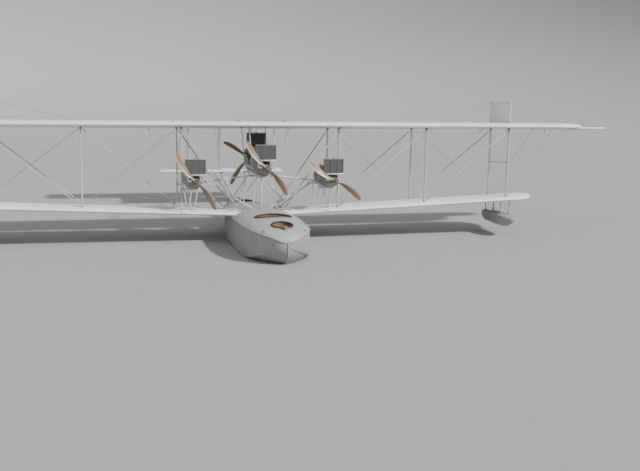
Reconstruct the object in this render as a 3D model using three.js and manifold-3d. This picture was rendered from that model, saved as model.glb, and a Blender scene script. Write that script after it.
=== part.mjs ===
// A four-engined biplane flying boat of about 1919, lying afloat: a short planked hull, a wide upper wing
// over a shorter lower one, three tractor engines abreast with a fourth pushing behind the centre one, and
// a biplane tail carried on booms. Millimetres. +X is the port wing, +Y is aft, +Z is up, and the origin is
// on the waterline under the wings.
import * as THREE from "three";
import { mergeVertices } from "three/addons/utils/BufferGeometryUtils.js";
import Module from "manifold-3d";

const wasm = await Module();
wasm.setup();

const GAP = 0.4; // between pieces that touch
const SIDES = [["port", 1], ["starboard", -1]];

// Wings. A wing's incidence is the fall of its chord line for each millimetre aft
const CHORD = 3658;
const WING_LE_Y = -1200;
const WING_TE_Y = WING_LE_Y + CHORD;
const DIHEDRAL = 0.0438; // rise of the lower wing for each millimetre outboard
const LOWER = { leadingZ: (x) => 1241 + Math.abs(x) * DIHEDRAL, incidence: 0.055, thick: 1 };
const UPPER = { leadingZ: () => 5400, incidence: 0.07, thick: 1.12 };
const FRONT_SPAR_Y = -750;
const REAR_SPAR_Y = 1350;
const SPARS_Y = [FRONT_SPAR_Y, REAR_SPAR_Y];
const STUB_X = 1500; // where the lower panels meet the hull's stub wings
const CENTRE_PANEL_X = 3900;
const LOWER_TIP_X = 14330;
const UPPER_TIP_X = 17200;
const STATIONS = { inner: 3700, middle: 8100, outer: 12450 };
const OVERHANG_X = 14800; // where the outermost stay meets the upper wing

// Ailerons
const AILERON_IN_X = 11300;
const AILERON_HINGE_Y = 1535;
const AILERON_OUT_X = 19200;
const HORN_IN_X = 17260;

// Engines, nacelles and propellers
const ENGINE_X = 3190;
const SIDE_AXIS_Z = 3010;
const CENTRE_AXIS_Z = 3590;
const NOSE_Y = -2080; // front face of each tractor engine
const PUSHER_NOSE_Y = 2700;
const PROP_RADIUS = 1520;
const HUB_DEPTH = 180;

// Hull and floats
const STEP_Y = 550;
const KEEL_Z = -860;

// Tail
const TAIL_LE_Y = 11700;
const TAIL_HINGE_Y = 13060;
const TAIL_TE_Y = 14130;
const TAIL_UPPER_Z = 4950;
const TAIL_LOWER_Z = 2100;
const TAIL_UPPER_X = 5780;
const TAIL_LOWER_X = 3800;
const TAIL_THICK = 130;
const FIN_X = 1900;
const RUDDER_HINGE_Y = 12860;
const RUDDER_TE_Y = 13650;
const RUDDER_THICK = 70;

const at = (x, y, z) => new THREE.Vector3(x, y, z);

// A closed solid from a three.js geometry, and back
function solid(geometry) {
  const bare = geometry.index ? geometry.toNonIndexed() : geometry.clone();
  bare.deleteAttribute("normal");
  bare.deleteAttribute("uv");
  const merged = mergeVertices(bare, 1e-3);
  return new wasm.Manifold(
    new wasm.Mesh({
      numProp: 3,
      vertProperties: new Float32Array(merged.attributes.position.array),
      triVerts: new Uint32Array(merged.index.array),
    }),
  );
}

function geometryOf(body) {
  const mesh = body.getMesh();
  const geometry = new THREE.BufferGeometry();
  geometry.setAttribute("position", new THREE.BufferAttribute(new Float32Array(mesh.vertProperties), 3));
  geometry.setIndex(new THREE.BufferAttribute(new Uint32Array(mesh.triVerts), 1));
  return geometry;
}

const join = (...geometries) => geometryOf(geometries.flat().map(solid).reduce((a, b) => a.add(b)));

const cut = (geometry, ...tools) =>
  geometryOf(tools.flat().map(solid).reduce((a, b) => a.subtract(b), solid(geometry)));

const moved = (geometry, x, y, z) => geometry.clone().translate(x, y, z);

// The same shape, grown by a small gap on every side of its box
function grown(geometry, gap = GAP * 1.5) {
  geometry.computeBoundingBox();
  const size = geometry.boundingBox.getSize(at(0, 0, 0));
  const centre = geometry.boundingBox.getCenter(at(0, 0, 0));
  const factor = (length) => 1 + (2 * gap) / length;
  return geometry
    .clone()
    .translate(-centre.x, -centre.y, -centre.z)
    .scale(factor(size.x), factor(size.y), factor(size.z))
    .translate(centre.x, centre.y, centre.z);
}

// The other side's piece
function mirrored(geometry) {
  const other = geometry.index ? geometry.toNonIndexed() : geometry.clone();
  const p = other.getAttribute("position");
  for (let i = 0; i < p.count; i += 3) {
    const corners = [0, 2, 1].map((k) => [-p.getX(i + k), p.getY(i + k), p.getZ(i + k)]);
    corners.forEach(([x, y, z], k) => p.setXYZ(i + k, x, y, z));
  }
  return other;
}

const sided = (geometry, side) => (side > 0 ? geometry : mirrored(geometry));

// A solid through a row of sections that all have the same number of points
function loft(sections) {
  const count = sections[0].length;
  const triangles = [];
  sections.slice(1).forEach((next, s) => {
    for (let i = 0; i < count; i++) {
      const j = (i + 1) % count;
      triangles.push(sections[s][i], sections[s][j], next[j], sections[s][i], next[j], next[i]);
    }
  });
  [sections[0].toReversed(), sections.at(-1)].forEach((ring) => {
    const middle = ring.reduce((sum, p) => sum.add(p), at(0, 0, 0)).divideScalar(count);
    ring.forEach((p, i) => triangles.push(middle, p, ring[(i + 1) % count]));
  });
  let volume = 0;
  for (let i = 0; i < triangles.length; i += 3)
    volume += triangles[i].dot(triangles[i + 1].clone().cross(triangles[i + 2]));
  if (volume < 0) triangles.reverse();
  return new THREE.BufferGeometry().setFromPoints(triangles);
}

const box = (x, y, z, width, depth, height) =>
  new THREE.BoxGeometry(width, depth, height).translate(x, y, z);

function rod(from, to, radius, sides = 6, endRadius = radius) {
  const axis = to.clone().sub(from);
  const turn = new THREE.Quaternion().setFromUnitVectors(at(0, 1, 0), axis.clone().normalize());
  return new THREE.CylinderGeometry(endRadius, radius, axis.length(), sides)
    .applyQuaternion(turn)
    .translate((from.x + to.x) / 2, (from.y + to.y) / 2, (from.z + to.z) / 2);
}

// A streamlined strut, its chord fore and aft. Columns: share of the chord from its middle, share of the
// thickness
const STRUT_SECTION = [
  [-0.5, 0], [-0.2, 0.5], [0.22, 0.38], [0.5, 0], [0.22, -0.38], [-0.2, -0.5],
];

function strut(from, to, chord, thickness) {
  const axis = to.clone().sub(from).normalize();
  const fore = at(0, 1, 0).addScaledVector(axis, -axis.y).normalize();
  const across = axis.clone().cross(fore);
  const ring = (end) =>
    STRUT_SECTION.map(([c, t]) =>
      end.clone().addScaledVector(fore, c * chord).addScaledVector(across, t * thickness),
    );
  return loft([ring(from), ring(to)]);
}

// Wing section. Columns: share of the chord from the leading edge, top and underside as shares of the chord
const WING_SECTION = [
  [0.004, 0.03, 0.012],
  [0.03, 0.047, 0.001],
  [0.12, 0.064, 0.002],
  [0.32, 0.073, 0.006],
  [0.6, 0.061, 0.008],
  [0.82, 0.034, 0.006],
  [1, 0.006, 0],
];

// Pads on the centre panel for the hoisting sling
const SLING_X = 1060;
const SLING_TOP_Z = { [FRONT_SPAR_Y]: 5680, [REAR_SPAR_Y]: 5480 };
const SLING_PAD = [140, 180, 100];

// The section's height above the chord line in millimetres, thinned by a factor about its own middle
const MEAN_HEIGHT = 0.03;
const sectionHeight = (wing, height, thin = 1) =>
  ((height - MEAN_HEIGHT) * thin + MEAN_HEIGHT) * CHORD * wing.thick;

// One section of a wing at x: its leading edge set back and its trailing edge brought in, thinned by a factor
function wingSection(wing, x, setBack = 0, bringIn = 0, thin = 1) {
  const chord = CHORD - setBack - bringIn;
  const point = (share, height) => {
    const back = setBack + share * chord;
    const chordZ = wing.leadingZ(x) - back * wing.incidence;
    return at(x, WING_LE_Y + back, chordZ + sectionHeight(wing, height, thin));
  };
  return [
    ...WING_SECTION.map(([share, top]) => point(share, top)),
    ...WING_SECTION.toReversed().map(([share, , under]) => point(share, under)),
  ];
}

// The height of a wing's surface at x and y: level 0 is the underside, 1 the top, and 0.5 is inside the wing
function wingZ(wing, x, y, level) {
  const share = (y - WING_LE_Y) / CHORD;
  const i = Math.max(1, WING_SECTION.findIndex(([s]) => s >= share));
  const [s0, top0, under0] = WING_SECTION[i - 1];
  const [s1, top1, under1] = WING_SECTION[i];
  const k = (share - s0) / (s1 - s0);
  const under = under0 + (under1 - under0) * k;
  const top = top0 + (top1 - top0) * k;
  const chordZ = wing.leadingZ(x) - share * CHORD * wing.incidence;
  return chordZ + sectionHeight(wing, under + (top - under) * level);
}

// Wing tips. Column: how far along the rounded end, from 0 at its start to 1 at the tip
const TIP_STEPS = [0.35, 0.62, 0.82, 0.94, 1];

function lowerWing(fromX) {
  const roundFrom = LOWER_TIP_X - 1650;
  const tip = TIP_STEPS.map((t) => {
    const kept = Math.max(Math.sqrt(1 - t * t), 0.14);
    const x = roundFrom + t * (LOWER_TIP_X - roundFrom);
    return wingSection(LOWER, x, CHORD * 0.55 * (1 - kept), CHORD * 0.45 * (1 - kept), Math.sqrt(kept));
  });
  return loft([wingSection(LOWER, fromX), wingSection(LOWER, roundFrom), ...tip]);
}

function upperWingPanel() {
  const roundFrom = 14900;
  const tipSetBack = AILERON_HINGE_Y - WING_LE_Y - 420;
  const tip = TIP_STEPS.map((t) => {
    const kept = Math.max(Math.sqrt(1 - t * t), 0.05);
    const x = roundFrom + t * (UPPER_TIP_X - roundFrom);
    return wingSection(UPPER, x, tipSetBack * (1 - kept), 0, 0.55 + 0.45 * kept);
  });
  const whole = loft([wingSection(UPPER, CENTRE_PANEL_X + GAP), wingSection(UPPER, roundFrom), ...tip]);
  const bayFrom = AILERON_IN_X - 20;
  const bayLength = 20000 - bayFrom;
  const bay = box(bayFrom + bayLength / 2, AILERON_HINGE_Y - 95 + 1500, AILERON_Z, bayLength, 3000, 1500);
  return join(cut(whole, bay), AILERON_LUGS.map((c) => lug(c, true, AILERON_HINGE_Y - 110, AILERON_THICK)));
}

function centrePanel() {
  const pads = SPARS_Y.flatMap((y) =>
    [SLING_X, -SLING_X].map((x) => box(x, y, SLING_TOP_Z[y] - SLING_PAD[2] / 2, ...SLING_PAD)),
  );
  return join(loft([-CENTRE_PANEL_X, CENTRE_PANEL_X].map((x) => wingSection(UPPER, x))), pads);
}

// Hinge lugs: a lug on the fixed surface reaches into a notch in the moving one's nose, whose cheeks lie
// against the lug's sides
const LUG_WIDTH = 60;
const LUG_CLEARANCE = 12; // behind the lug, where the surface swings

// A lug round the hinge, with its arm forward to fromY; thick is the moving surface's thickness there
function lug(centre, alongX, fromY, thick) {
  const radius = thick * 0.28;
  const half = alongX ? at(LUG_WIDTH / 2, 0, 0) : at(0, 0, LUG_WIDTH / 2);
  const reach = centre.y - fromY;
  const [width, height] = alongX ? [LUG_WIDTH, radius * 1.6] : [radius * 1.6, LUG_WIDTH];
  return join(
    rod(centre.clone().sub(half), centre.clone().add(half), radius, 8),
    box(centre.x, centre.y - reach / 2, centre.z, width, reach, height),
  );
}

function notch(centre, alongX, thick) {
  const depth = thick * 1.1;
  const length = LUG_WIDTH + 2 * GAP;
  const [width, height] = alongX ? [length, thick * 2] : [thick * 2, length];
  return box(centre.x, centre.y + thick * 0.28 + LUG_CLEARANCE - depth / 2, centre.z, width, depth, height);
}

const AILERON_Z = wingZ(UPPER, 0, AILERON_HINGE_Y, 0.5);
const AILERON_THICK = wingZ(UPPER, 0, AILERON_HINGE_Y, 1) - wingZ(UPPER, 0, AILERON_HINGE_Y, 0);
const AILERON_FALL = (AILERON_Z - wingZ(UPPER, 0, WING_TE_Y, 0.5)) / (WING_TE_Y - AILERON_HINGE_Y);
const AILERON_LUGS = [12300, 14600, 16700].map((x) => at(x, AILERON_HINGE_Y, AILERON_Z));

// A control surface's section: a round nose on the hinge and a thin trailing edge
function surfaceRing(place, nose, tail, thickness) {
  const half = thickness / 2;
  return [
    place(nose, 0), place(nose + half * 0.3, half * 0.7), place(nose + half, half), place(tail, 8),
    place(tail, -8), place(nose + half, -half), place(nose + half * 0.3, -half * 0.7),
  ];
}

// The aileron's outline. Columns: x, nose, trailing edge, thickness
const AILERON_MAIN = [
  [AILERON_IN_X, AILERON_HINGE_Y - AILERON_THICK / 2, WING_TE_Y, AILERON_THICK],
  [HORN_IN_X + 90, AILERON_HINGE_Y - AILERON_THICK / 2, WING_TE_Y, AILERON_THICK],
];
const AILERON_HORN = [
  [HORN_IN_X, 780, WING_TE_Y, 120],
  [18350, 860, 2440, 100],
  [18880, 1080, 2350, 80],
  [AILERON_OUT_X, 1440, 2120, 40],
];

function aileron() {
  const part = (rows) =>
    loft(
      rows.map(([x, nose, tail, thickness]) =>
        surfaceRing(
          (y, h) => at(x, y, AILERON_Z + h - Math.max(y - AILERON_HINGE_Y, 0) * AILERON_FALL),
          nose, tail, thickness,
        ),
      ),
    );
  return cut(
    join(part(AILERON_MAIN), part(AILERON_HORN)),
    AILERON_LUGS.map((c) => notch(c, true, AILERON_THICK)),
  );
}

// Hull. Columns: y, keel z, chine half-breadth, chine z, deck-edge half-breadth, deck-edge z, deck crown z
const HULL_FORE = [
  [-6700, 720, 40, 800, 60, 970, 1020],
  [-6675, 590, 160, 745, 210, 1005, 1100],
  [-6600, 430, 325, 670, 395, 1075, 1200],
  [-6480, 280, 480, 600, 560, 1140, 1290],
  [-5950, -100, 920, 400, 980, 1230, 1450],
  [-4950, -480, 1290, 140, 1290, 1270, 1590],
  [-3700, -740, 1470, -30, 1430, 1280, 1650],
  [-2400, KEEL_Z, 1520, -130, 1460, 1275, 1640],
  [STEP_Y, KEEL_Z, 1500, -190, 1420, 1225, 1540],
];
const HULL_AFT = [
  [STEP_Y - 60, KEEL_Z + 190, 1440, -60, 1420, 1225, 1540],
  [2600, -470, 1180, 60, 1200, 1190, 1430],
  [4500, -150, 760, 280, 800, 1150, 1320],
  [5900, 240, 400, 540, 430, 1110, 1240],
  [6940, 640, 90, 820, 110, 1040, 1110],
];
const KEEL_HALF = 60;

function hullSection([y, keel, chineX, chineZ, edgeX, edgeZ, crown]) {
  const rise = crown - edgeZ;
  const half = [
    [Math.min(KEEL_HALF, chineX * 0.6), keel],
    [chineX * 0.55, keel + (chineZ - keel) * 0.5],
    [chineX, chineZ],
    [edgeX * 1.01, (chineZ + edgeZ * 2) / 3],
    [edgeX, edgeZ],
    [edgeX * 0.86, edgeZ + rise * 0.42],
    [edgeX * 0.56, edgeZ + rise * 0.8],
    [edgeX * 0.2, edgeZ + rise * 0.98],
  ];
  return [
    ...half.map(([x, z]) => at(x, y, z)),
    ...half.toReversed().map(([x, z]) => at(-x, y, z)),
  ];
}

// Cockpit wells. Columns: y, half length, half width, floor z
const COCKPITS = { bow: [-5450, 430, 430, 560], pilots: [-3550, 420, 800, 620], aft: [3900, 430, 380, 520] };

function cockpitWell([y, halfLength, halfWidth, floor]) {
  return new THREE.CylinderGeometry(1, 1, 1, 16)
    .rotateX(Math.PI / 2)
    .scale(halfWidth, halfLength, 2400 - floor)
    .translate(0, y, (2400 + floor) / 2);
}

function hull() {
  const body = join(loft(HULL_FORE.map(hullSection)), loft(HULL_AFT.map(hullSection)));
  const stubs = loft([-STUB_X, STUB_X].map((x) => wingSection(LOWER, x)));
  const bitt = box(0, -6050, 1470, 120, 120, 300);
  const open = cut(join(body, stubs), Object.values(COCKPITS).map(cockpitWell));
  return join(open, bitt);
}

// Wing-tip float. Columns: y, half-breadth, bottom z, chine z, top z
const FLOAT_ROWS = [
  [-1650, 90, 850, 890, 990],
  [-1300, 290, 620, 750, 1050],
  [-500, 390, 480, 620, 1090],
  [600, 390, 470, 610, 1080],
  [1300, 280, 620, 720, 1030],
  [1850, 60, 850, 880, 970],
];

function tipFloat() {
  const body = loft(
    FLOAT_ROWS.map(([y, half, bottom, chine, top]) =>
      [
        [half * 0.15, bottom], [half, chine], [half, top - 70], [half * 0.6, top],
        [-half * 0.6, top], [-half, top - 70], [-half, chine], [-half * 0.15, bottom],
      ].map(([x, z]) => at(STATIONS.outer + x, y, z)),
    ),
  );
  const legs = [[FRONT_SPAR_Y, -1], [FRONT_SPAR_Y, 1], [REAR_SPAR_Y - 300, -1], [REAR_SPAR_Y - 300, 1]].map(
    ([y, side]) =>
      strut(
        at(STATIONS.outer + side * 210, y, 1000),
        at(STATIONS.outer + side * 250, y, wingZ(LOWER, STATIONS.outer, y, 0.5)),
        110, 45,
      ),
  );
  return cut(join(body, legs), moved(LOWER_WING, 0, 0, -GAP));
}

// A front and a rear strut, each from its foot to its head, with the bar that ties them at mid height
function strutPair(feet, heads, chord, thickness) {
  const pair = feet.map((foot, i) => strut(foot, heads[i], chord, thickness));
  const [front, rear] = feet.map((foot, i) => foot.clone().lerp(heads[i], 0.5));
  return join(pair, rod(front, rear, thickness * 0.42, 6));
}

const STRUT_CHORD = 190;
const STRUT_THICK = 76;
const footAt = (x, y) => at(x, y, wingZ(LOWER, x, y, 0.5));
const headAt = (x, y) => at(x, y, wingZ(UPPER, x, y, 0.5));
const betweenWings = (geometry) => cut(geometry, moved(LOWER_WING, 0, 0, GAP), moved(UPPER_WING, 0, 0, -GAP));

const interplaneStrut = (x, y) => strut(footAt(x, y), headAt(x, y), STRUT_CHORD, STRUT_THICK);

function outerStruts() {
  const ends = (place) => SPARS_Y.map((y) => place(STATIONS.outer, y));
  return betweenWings(strutPair(ends(footAt), ends(headAt), STRUT_CHORD, STRUT_THICK));
}

// The main stays of one spar, between fittings at the strut ends: the thick ones carry the wings in flight,
// the thin ones on the ground. Columns: foot x, top x, radius
const STAY_LINES = [
  [1050, STATIONS.inner, 15],
  [STATIONS.middle, STATIONS.inner, 8],
  [STATIONS.inner, STATIONS.middle, 15],
  [STATIONS.outer, STATIONS.middle, 8],
  [STATIONS.middle, STATIONS.outer, 15],
  [STATIONS.outer, OVERHANG_X, 9],
];
const STAY_AHEAD = 135; // the stays run clear in front of the struts

function stays(sparY) {
  const y = sparY - STAY_AHEAD;
  const foot = (x) => at(x, y, wingZ(LOWER, x, y, 1) + 40);
  const top = (x) => at(x, y, wingZ(UPPER, x, y, 0) - 40);
  const wires = STAY_LINES.map(([footX, topX, radius]) => rod(foot(footX), top(topX), radius, 4));
  const each = (column) => [...new Set(STAY_LINES.map((row) => row[column]))];
  const fittings = [...each(0).map((x) => foot(x)), ...each(1).map((x) => top(x))].map((p) =>
    box(p.x, y, p.z + (p.z > CENTRE_AXIS_Z ? 25 : -25), 60, 50, 110),
  );
  return cut(
    join(wires, fittings),
    moved(LOWER_WING, 0, 0, GAP), moved(UPPER_WING, 0, 0, -GAP), moved(CENTRE_WING, 0, 0, -GAP), HULL_ROOM,
  );
}

// The covered panel between two king posts over the outer struts, with the overhang's landing stays
function skidFin() {
  const x = STATIONS.outer;
  const topZ = 6640;
  const panelFoot = wingZ(UPPER, x, 0, 1) - 20;
  const middle = at(x, (FRONT_SPAR_Y + REAR_SPAR_Y) / 2, (topZ + panelFoot) / 2);
  const panel = box(middle.x, middle.y, middle.z, 50, REAR_SPAR_Y - FRONT_SPAR_Y, topZ - panelFoot);
  const posts = SPARS_Y.map((y) => strut(headAt(x, y), at(x, y, topZ + 40), 110, 80));
  const guys = SPARS_Y.flatMap((y) =>
    [STATIONS.middle, OVERHANG_X].map((to) => rod(at(x, y, topZ), headAt(to, y), 9, 4)),
  );
  return cut(join(panel, posts, guys), moved(UPPER_WING, 0, 0, GAP));
}

// A twelve-cylinder vee engine, built nose first along +Y from the origin on its shaft
const NOSE_LENGTH = 420;
const CYLINDER_PITCH = 225;
const BANK_TILT = THREE.MathUtils.degToRad(22.5);

function engine() {
  const nose = rod(at(0, 0, 0), at(0, NOSE_LENGTH, 0), 105, 10, 150);
  const caseRing = (y, k) =>
    [[240, -15], [215, 110], [110, 185], [-110, 185], [-215, 110], [-240, -15]].map(([x, z]) =>
      at(x * k, y, z > 0 ? z * k : z),
    );
  const crankcase = loft([caseRing(330, 0.62), caseRing(450, 1), caseRing(1850, 1), caseRing(1900, 0.8)]);
  const banks = [1, -1].flatMap((side) => {
    const along = at(side * Math.sin(BANK_TILT), 0, Math.cos(BANK_TILT));
    const reach = (y, r) => along.clone().multiplyScalar(r).add(at(0, y, 0));
    const cylinders = [0, 1, 2, 3, 4, 5].map((i) => {
      const y = 520 + i * CYLINDER_PITCH;
      return rod(reach(y, 120), reach(y, 560), 84, 6);
    });
    return [...cylinders, rod(reach(430, 590), reach(1740, 590), 58, 6)];
  });
  return join(nose, crankcase, banks);
}

// The trough in a nacelle under an engine's nose
const noseRoom = (y, way) =>
  rod(at(0, y, 0), at(0, y + way * (NOSE_LENGTH + 3), 0), 105 + GAP, 10, 150 + GAP);

// Nacelle tubs. Columns: y, half width, depth under the shaft line
const SIDE_TUB = [
  [-1960, 200, 150], [-1650, 330, 300], [-900, 385, 410],
  [200, 385, 400], [1100, 230, 280], [1780, 40, 90],
];
const CENTRE_TUB = [
  [-1960, 200, 150], [-1650, 330, 300], [-900, 385, 410],
  [1500, 385, 410], [2270, 330, 300], [2580, 200, 150],
];
const TUB_TOP = -15 - GAP; // the tub's flat rim, just under the crankcase

const tub = (rows) =>
  loft(
    rows.map(([y, half, depth]) =>
      [
        [half, TUB_TOP], [half, -depth * 0.5], [half * 0.72, -depth * 0.87], [half * 0.28, -depth],
        [-half * 0.28, -depth], [-half * 0.72, -depth * 0.87], [-half, -depth * 0.5], [-half, TUB_TOP],
      ].map(([x, z]) => at(x, y, Math.min(z, TUB_TOP))),
    ),
  );

// The fairing behind or between the engines. Columns: y, half width, height over the shaft line
const hood = (rows) =>
  loft(
    rows.map(([y, half, height]) =>
      [
        [half, TUB_TOP - 6], [half, height * 0.45], [half * 0.7, height * 0.86], [half * 0.24, height],
        [-half * 0.24, height], [-half * 0.7, height * 0.86], [-half, height * 0.45], [-half, TUB_TOP - 6],
      ].map(([x, z]) => at(x, y, z)),
    ),
  );
const SIDE_HOOD = [[-140, 330, 330], [300, 330, 330], [1100, 190, 200], [1770, 36, 20]];
const CENTRE_HOOD = [[-140, 340, 300], [760, 340, 300]];

// The cowls along both flanks of a crankcase. Columns: y, half width, height over the shaft line
const SIDE_COWL = [[-1700, 309, 170], [-1300, 357, 215], [-900, 385, 245], [-120, 385, 290]];
const PUSHER_COWL = [[740, 385, 270], [1500, 385, 240], [1920, 357, 215], [2310, 321, 170]];
const COWL_INNER_X = 262;

const cowls = (rows) =>
  [1, -1].map((side) =>
    loft(
      rows.map(([y, half, height]) => {
        const crest = Math.max(half - 60, COWL_INNER_X + 8);
        return [
          [half, TUB_TOP - 6], [half, height * 0.55], [crest, height], [crest - 14, height],
          [COWL_INNER_X, height * 0.5], [COWL_INNER_X, TUB_TOP - 6],
        ].map(([x, z]) => at(side * x, y, z));
      }),
    ),
  );

// A tractor engine's radiator stands over its nose, on a leg and a stout pipe from the tub's rim. The
// pusher's stands higher, on two posts over the fairing between the engines
function radiator(lift, overFairing) {
  const core = box(0, 0, lift + 627, 930, 150, 640);
  const tanks = [box(0, 0, lift + 964, 950, 180, 44), box(0, 0, lift + 273, 950, 180, 78)];
  const legTop = lift + 240;
  if (overFairing) {
    const posts = [200, -200].flatMap((x) => [
      box(x, 0, legTop / 2, 70, 100, legTop),
      box(x, 0, 255, 130, 120, 80),
    ]);
    const fairing = hood([-200, 200].map((y) => [y, 340, 300 + GAP]));
    return cut(join(core, tanks, posts), fairing);
  }
  const legs = [[-330, 44], [225, 90]].map(([x, wide]) => box(x, 0, legTop / 2, wide, 100, legTop));
  const feet = [268, -268].map((x) => box(x, 0, TUB_TOP + GAP + 20, 180, 110, 40));
  return join(core, tanks, legs, feet);
}
const RADIATOR_Y = -1775;
const PUSHER_RADIATOR_Y = 620;

// A wooden propeller with swept blades, its hub's back face on y 0 and the hub running to -Y.
// Columns: radius, chord, thickness, pitch angle in degrees, sweep
const BLADE_ROWS = [
  [40, 150, 120, 60, 0],
  [260, 170, 84, 48, -48],
  [560, 240, 52, 33, -92],
  [900, 292, 34, 24, -92],
  [1220, 272, 22, 18, -58],
  [1400, 214, 14, 16, -26],
  [1485, 140, 11, 16, -8],
  [PROP_RADIUS, 70, 9, 16, 0],
];

function blade(angle, slim) {
  const sections = BLADE_ROWS.map(([radius, chord, thickness, pitch, sweep]) => {
    const a = THREE.MathUtils.degToRad(pitch);
    return [[-0.5, 0], [-0.2, 0.5], [0.2, 0.42], [0.5, 0.02], [0.2, -0.42], [-0.2, -0.5]].map(([c, t]) => {
      const across = c * chord * slim;
      const deep = t * thickness;
      return at(
        sweep + across * Math.cos(a) - deep * Math.sin(a),
        -HUB_DEPTH * 0.55 + across * Math.sin(a) + deep * Math.cos(a),
        radius,
      );
    });
  });
  return loft(sections).rotateY(-angle);
}

function propeller(blades, angle) {
  const slim = blades > 2 ? 0.8 : 1;
  const arms = Array.from({ length: blades }, (_, i) => blade(angle + (i * 2 * Math.PI) / blades, slim));
  const hub = rod(at(0, 0, 0), at(0, -HUB_DEPTH, 0), 128, 12);
  return join(hub, rod(at(0, -HUB_DEPTH + 1, 0), at(0, -HUB_DEPTH - 60, 0), 62, 8), arms);
}

// Tail surfaces
function tailplane(halfSpan, z) {
  const lugs = elevatorLugs(halfSpan, z).map((c) => lug(c, true, TAIL_HINGE_Y - 110, ELEVATOR_THICK));
  const rounded = [[1, 150], [0.955, 30], [0.9, 0], [-0.9, 0], [-0.955, 30], [-1, 150]];
  const rear = TAIL_HINGE_Y - 80;
  const body = loft(
    rounded.map(([share, back]) => {
      const front = TAIL_LE_Y + back * 3;
      const half = TAIL_THICK / 2;
      const edge = Math.abs(share) === 1 ? 0.4 : 1;
      return [
        [front, 0], [front + 60, half * 0.6 * edge], [front + 320, half * edge], [rear, half * edge],
        [rear, -half * edge], [front + 320, -half * edge], [front + 60, -half * 0.6 * edge],
      ].map(([y, h]) => at(share * halfSpan, y, z + h));
    }),
  );
  return join(body, lugs);
}

const ELEVATOR_THICK = 120;
const elevatorLugs = (halfSpan, z) =>
  [-0.78, -0.36, 0.36, 0.78].map((share) => at(share * halfSpan, TAIL_HINGE_Y, z));

function elevator(halfSpan, z) {
  const rows = [[1, 330], [0.95, 60], [0.88, 0], [-0.88, 0], [-0.95, 60], [-1, 330]];
  const body = loft(
    rows.map(([share, short]) =>
      surfaceRing(
        (y, h) => at(share * halfSpan, y, z + h),
        TAIL_HINGE_Y - ELEVATOR_THICK / 2, TAIL_TE_Y - short, ELEVATOR_THICK,
      ),
    ),
  );
  return cut(body, elevatorLugs(halfSpan, z).map((c) => notch(c, true, ELEVATOR_THICK)));
}

// The heights where each rudder hangs on its fin
const rudderLugs = (x) => [TAIL_LOWER_Z + 500, TAIL_UPPER_Z - 500].map((z) => at(x, RUDDER_HINGE_Y, z));

function tailFin(x) {
  const rear = RUDDER_HINGE_Y - 62;
  const ring = (z, back) =>
    [[12000 + back, 0], [12060 + back, 26], [rear, 34], [rear, -34], [12060 + back, -26]].map(([y, h]) =>
      at(x + h, y, z),
    );
  const panel = loft([ring(TAIL_LOWER_Z, 0), ring(TAIL_UPPER_Z, 60)]);
  return cut(
    join(panel, rudderLugs(x).map((c) => lug(c, false, RUDDER_HINGE_Y - 90, RUDDER_THICK))),
    moved(TAIL_LOWER, 0, 0, GAP), moved(TAIL_UPPER, 0, 0, -GAP),
  );
}

function rudder(x) {
  const rows = [
    [TAIL_LOWER_Z + 110, 13100], [TAIL_LOWER_Z + 400, 13560], [TAIL_LOWER_Z + 800, RUDDER_TE_Y],
    [TAIL_UPPER_Z - 760, RUDDER_TE_Y], [TAIL_UPPER_Z - 350, 13560], [TAIL_UPPER_Z - 110, 13100],
  ];
  const body = loft(
    rows.map(([z, tail]) =>
      surfaceRing((y, h) => at(x + h, y, z), RUDDER_HINGE_Y - RUDDER_THICK / 2, tail, RUDDER_THICK),
    ),
  );
  return cut(body, rudderLugs(x).map((c) => notch(c, false, RUDDER_THICK)));
}

function tailStruts() {
  const ends = (x, z) => [12150, 12720].map((y) => at(x, y, z));
  const feet = ends(TAIL_LOWER_X * 0.86, TAIL_LOWER_Z);
  const whole = strutPair(feet, ends(TAIL_UPPER_X * 0.76, TAIL_UPPER_Z), 100, 44);
  return cut(whole, moved(TAIL_LOWER, 0, 0, GAP), moved(TAIL_UPPER, 0, 0, -GAP));
}

// Booms that carry the tail
const BOOM_RADIUS = 75;

function lowerBoom() {
  const tail = at(0, TAIL_LE_Y + 380, TAIL_LOWER_Z - TAIL_THICK);
  const whole = rod(at(0, 6350, 880), tail, BOOM_RADIUS, 10);
  const saddle = box(0, tail.y, tail.z + 40, 160, 420, 130);
  return cut(join(whole, saddle), HULL_ROOM, moved(TAIL_LOWER, 0, 0, -GAP));
}

// One of the two booms from the upper wing's rear spar
function upperBoom() {
  const start = at(1500, REAR_SPAR_Y - 40, wingZ(UPPER, 1500, REAR_SPAR_Y, 1) + 75);
  const end = at(1000, TAIL_LE_Y + 500, TAIL_UPPER_Z - TAIL_THICK);
  const blocks = [
    box(start.x, REAR_SPAR_Y, start.z - 40, 130, 260, 140),
    box(end.x, end.y - 150, end.z + 40, 150, 360, 90),
  ];
  return cut(
    join(rod(start, end, BOOM_RADIUS * 0.85, 10), blocks),
    moved(CENTRE_WING, 0, 0, GAP), moved(TAIL_UPPER, 0, 0, -GAP),
  );
}

// Trusses that carry the nacelles
const BEARER_DROP = 400; // the bearers' middle under the shaft line
const CROSSBAR_DROP = 470;

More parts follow.
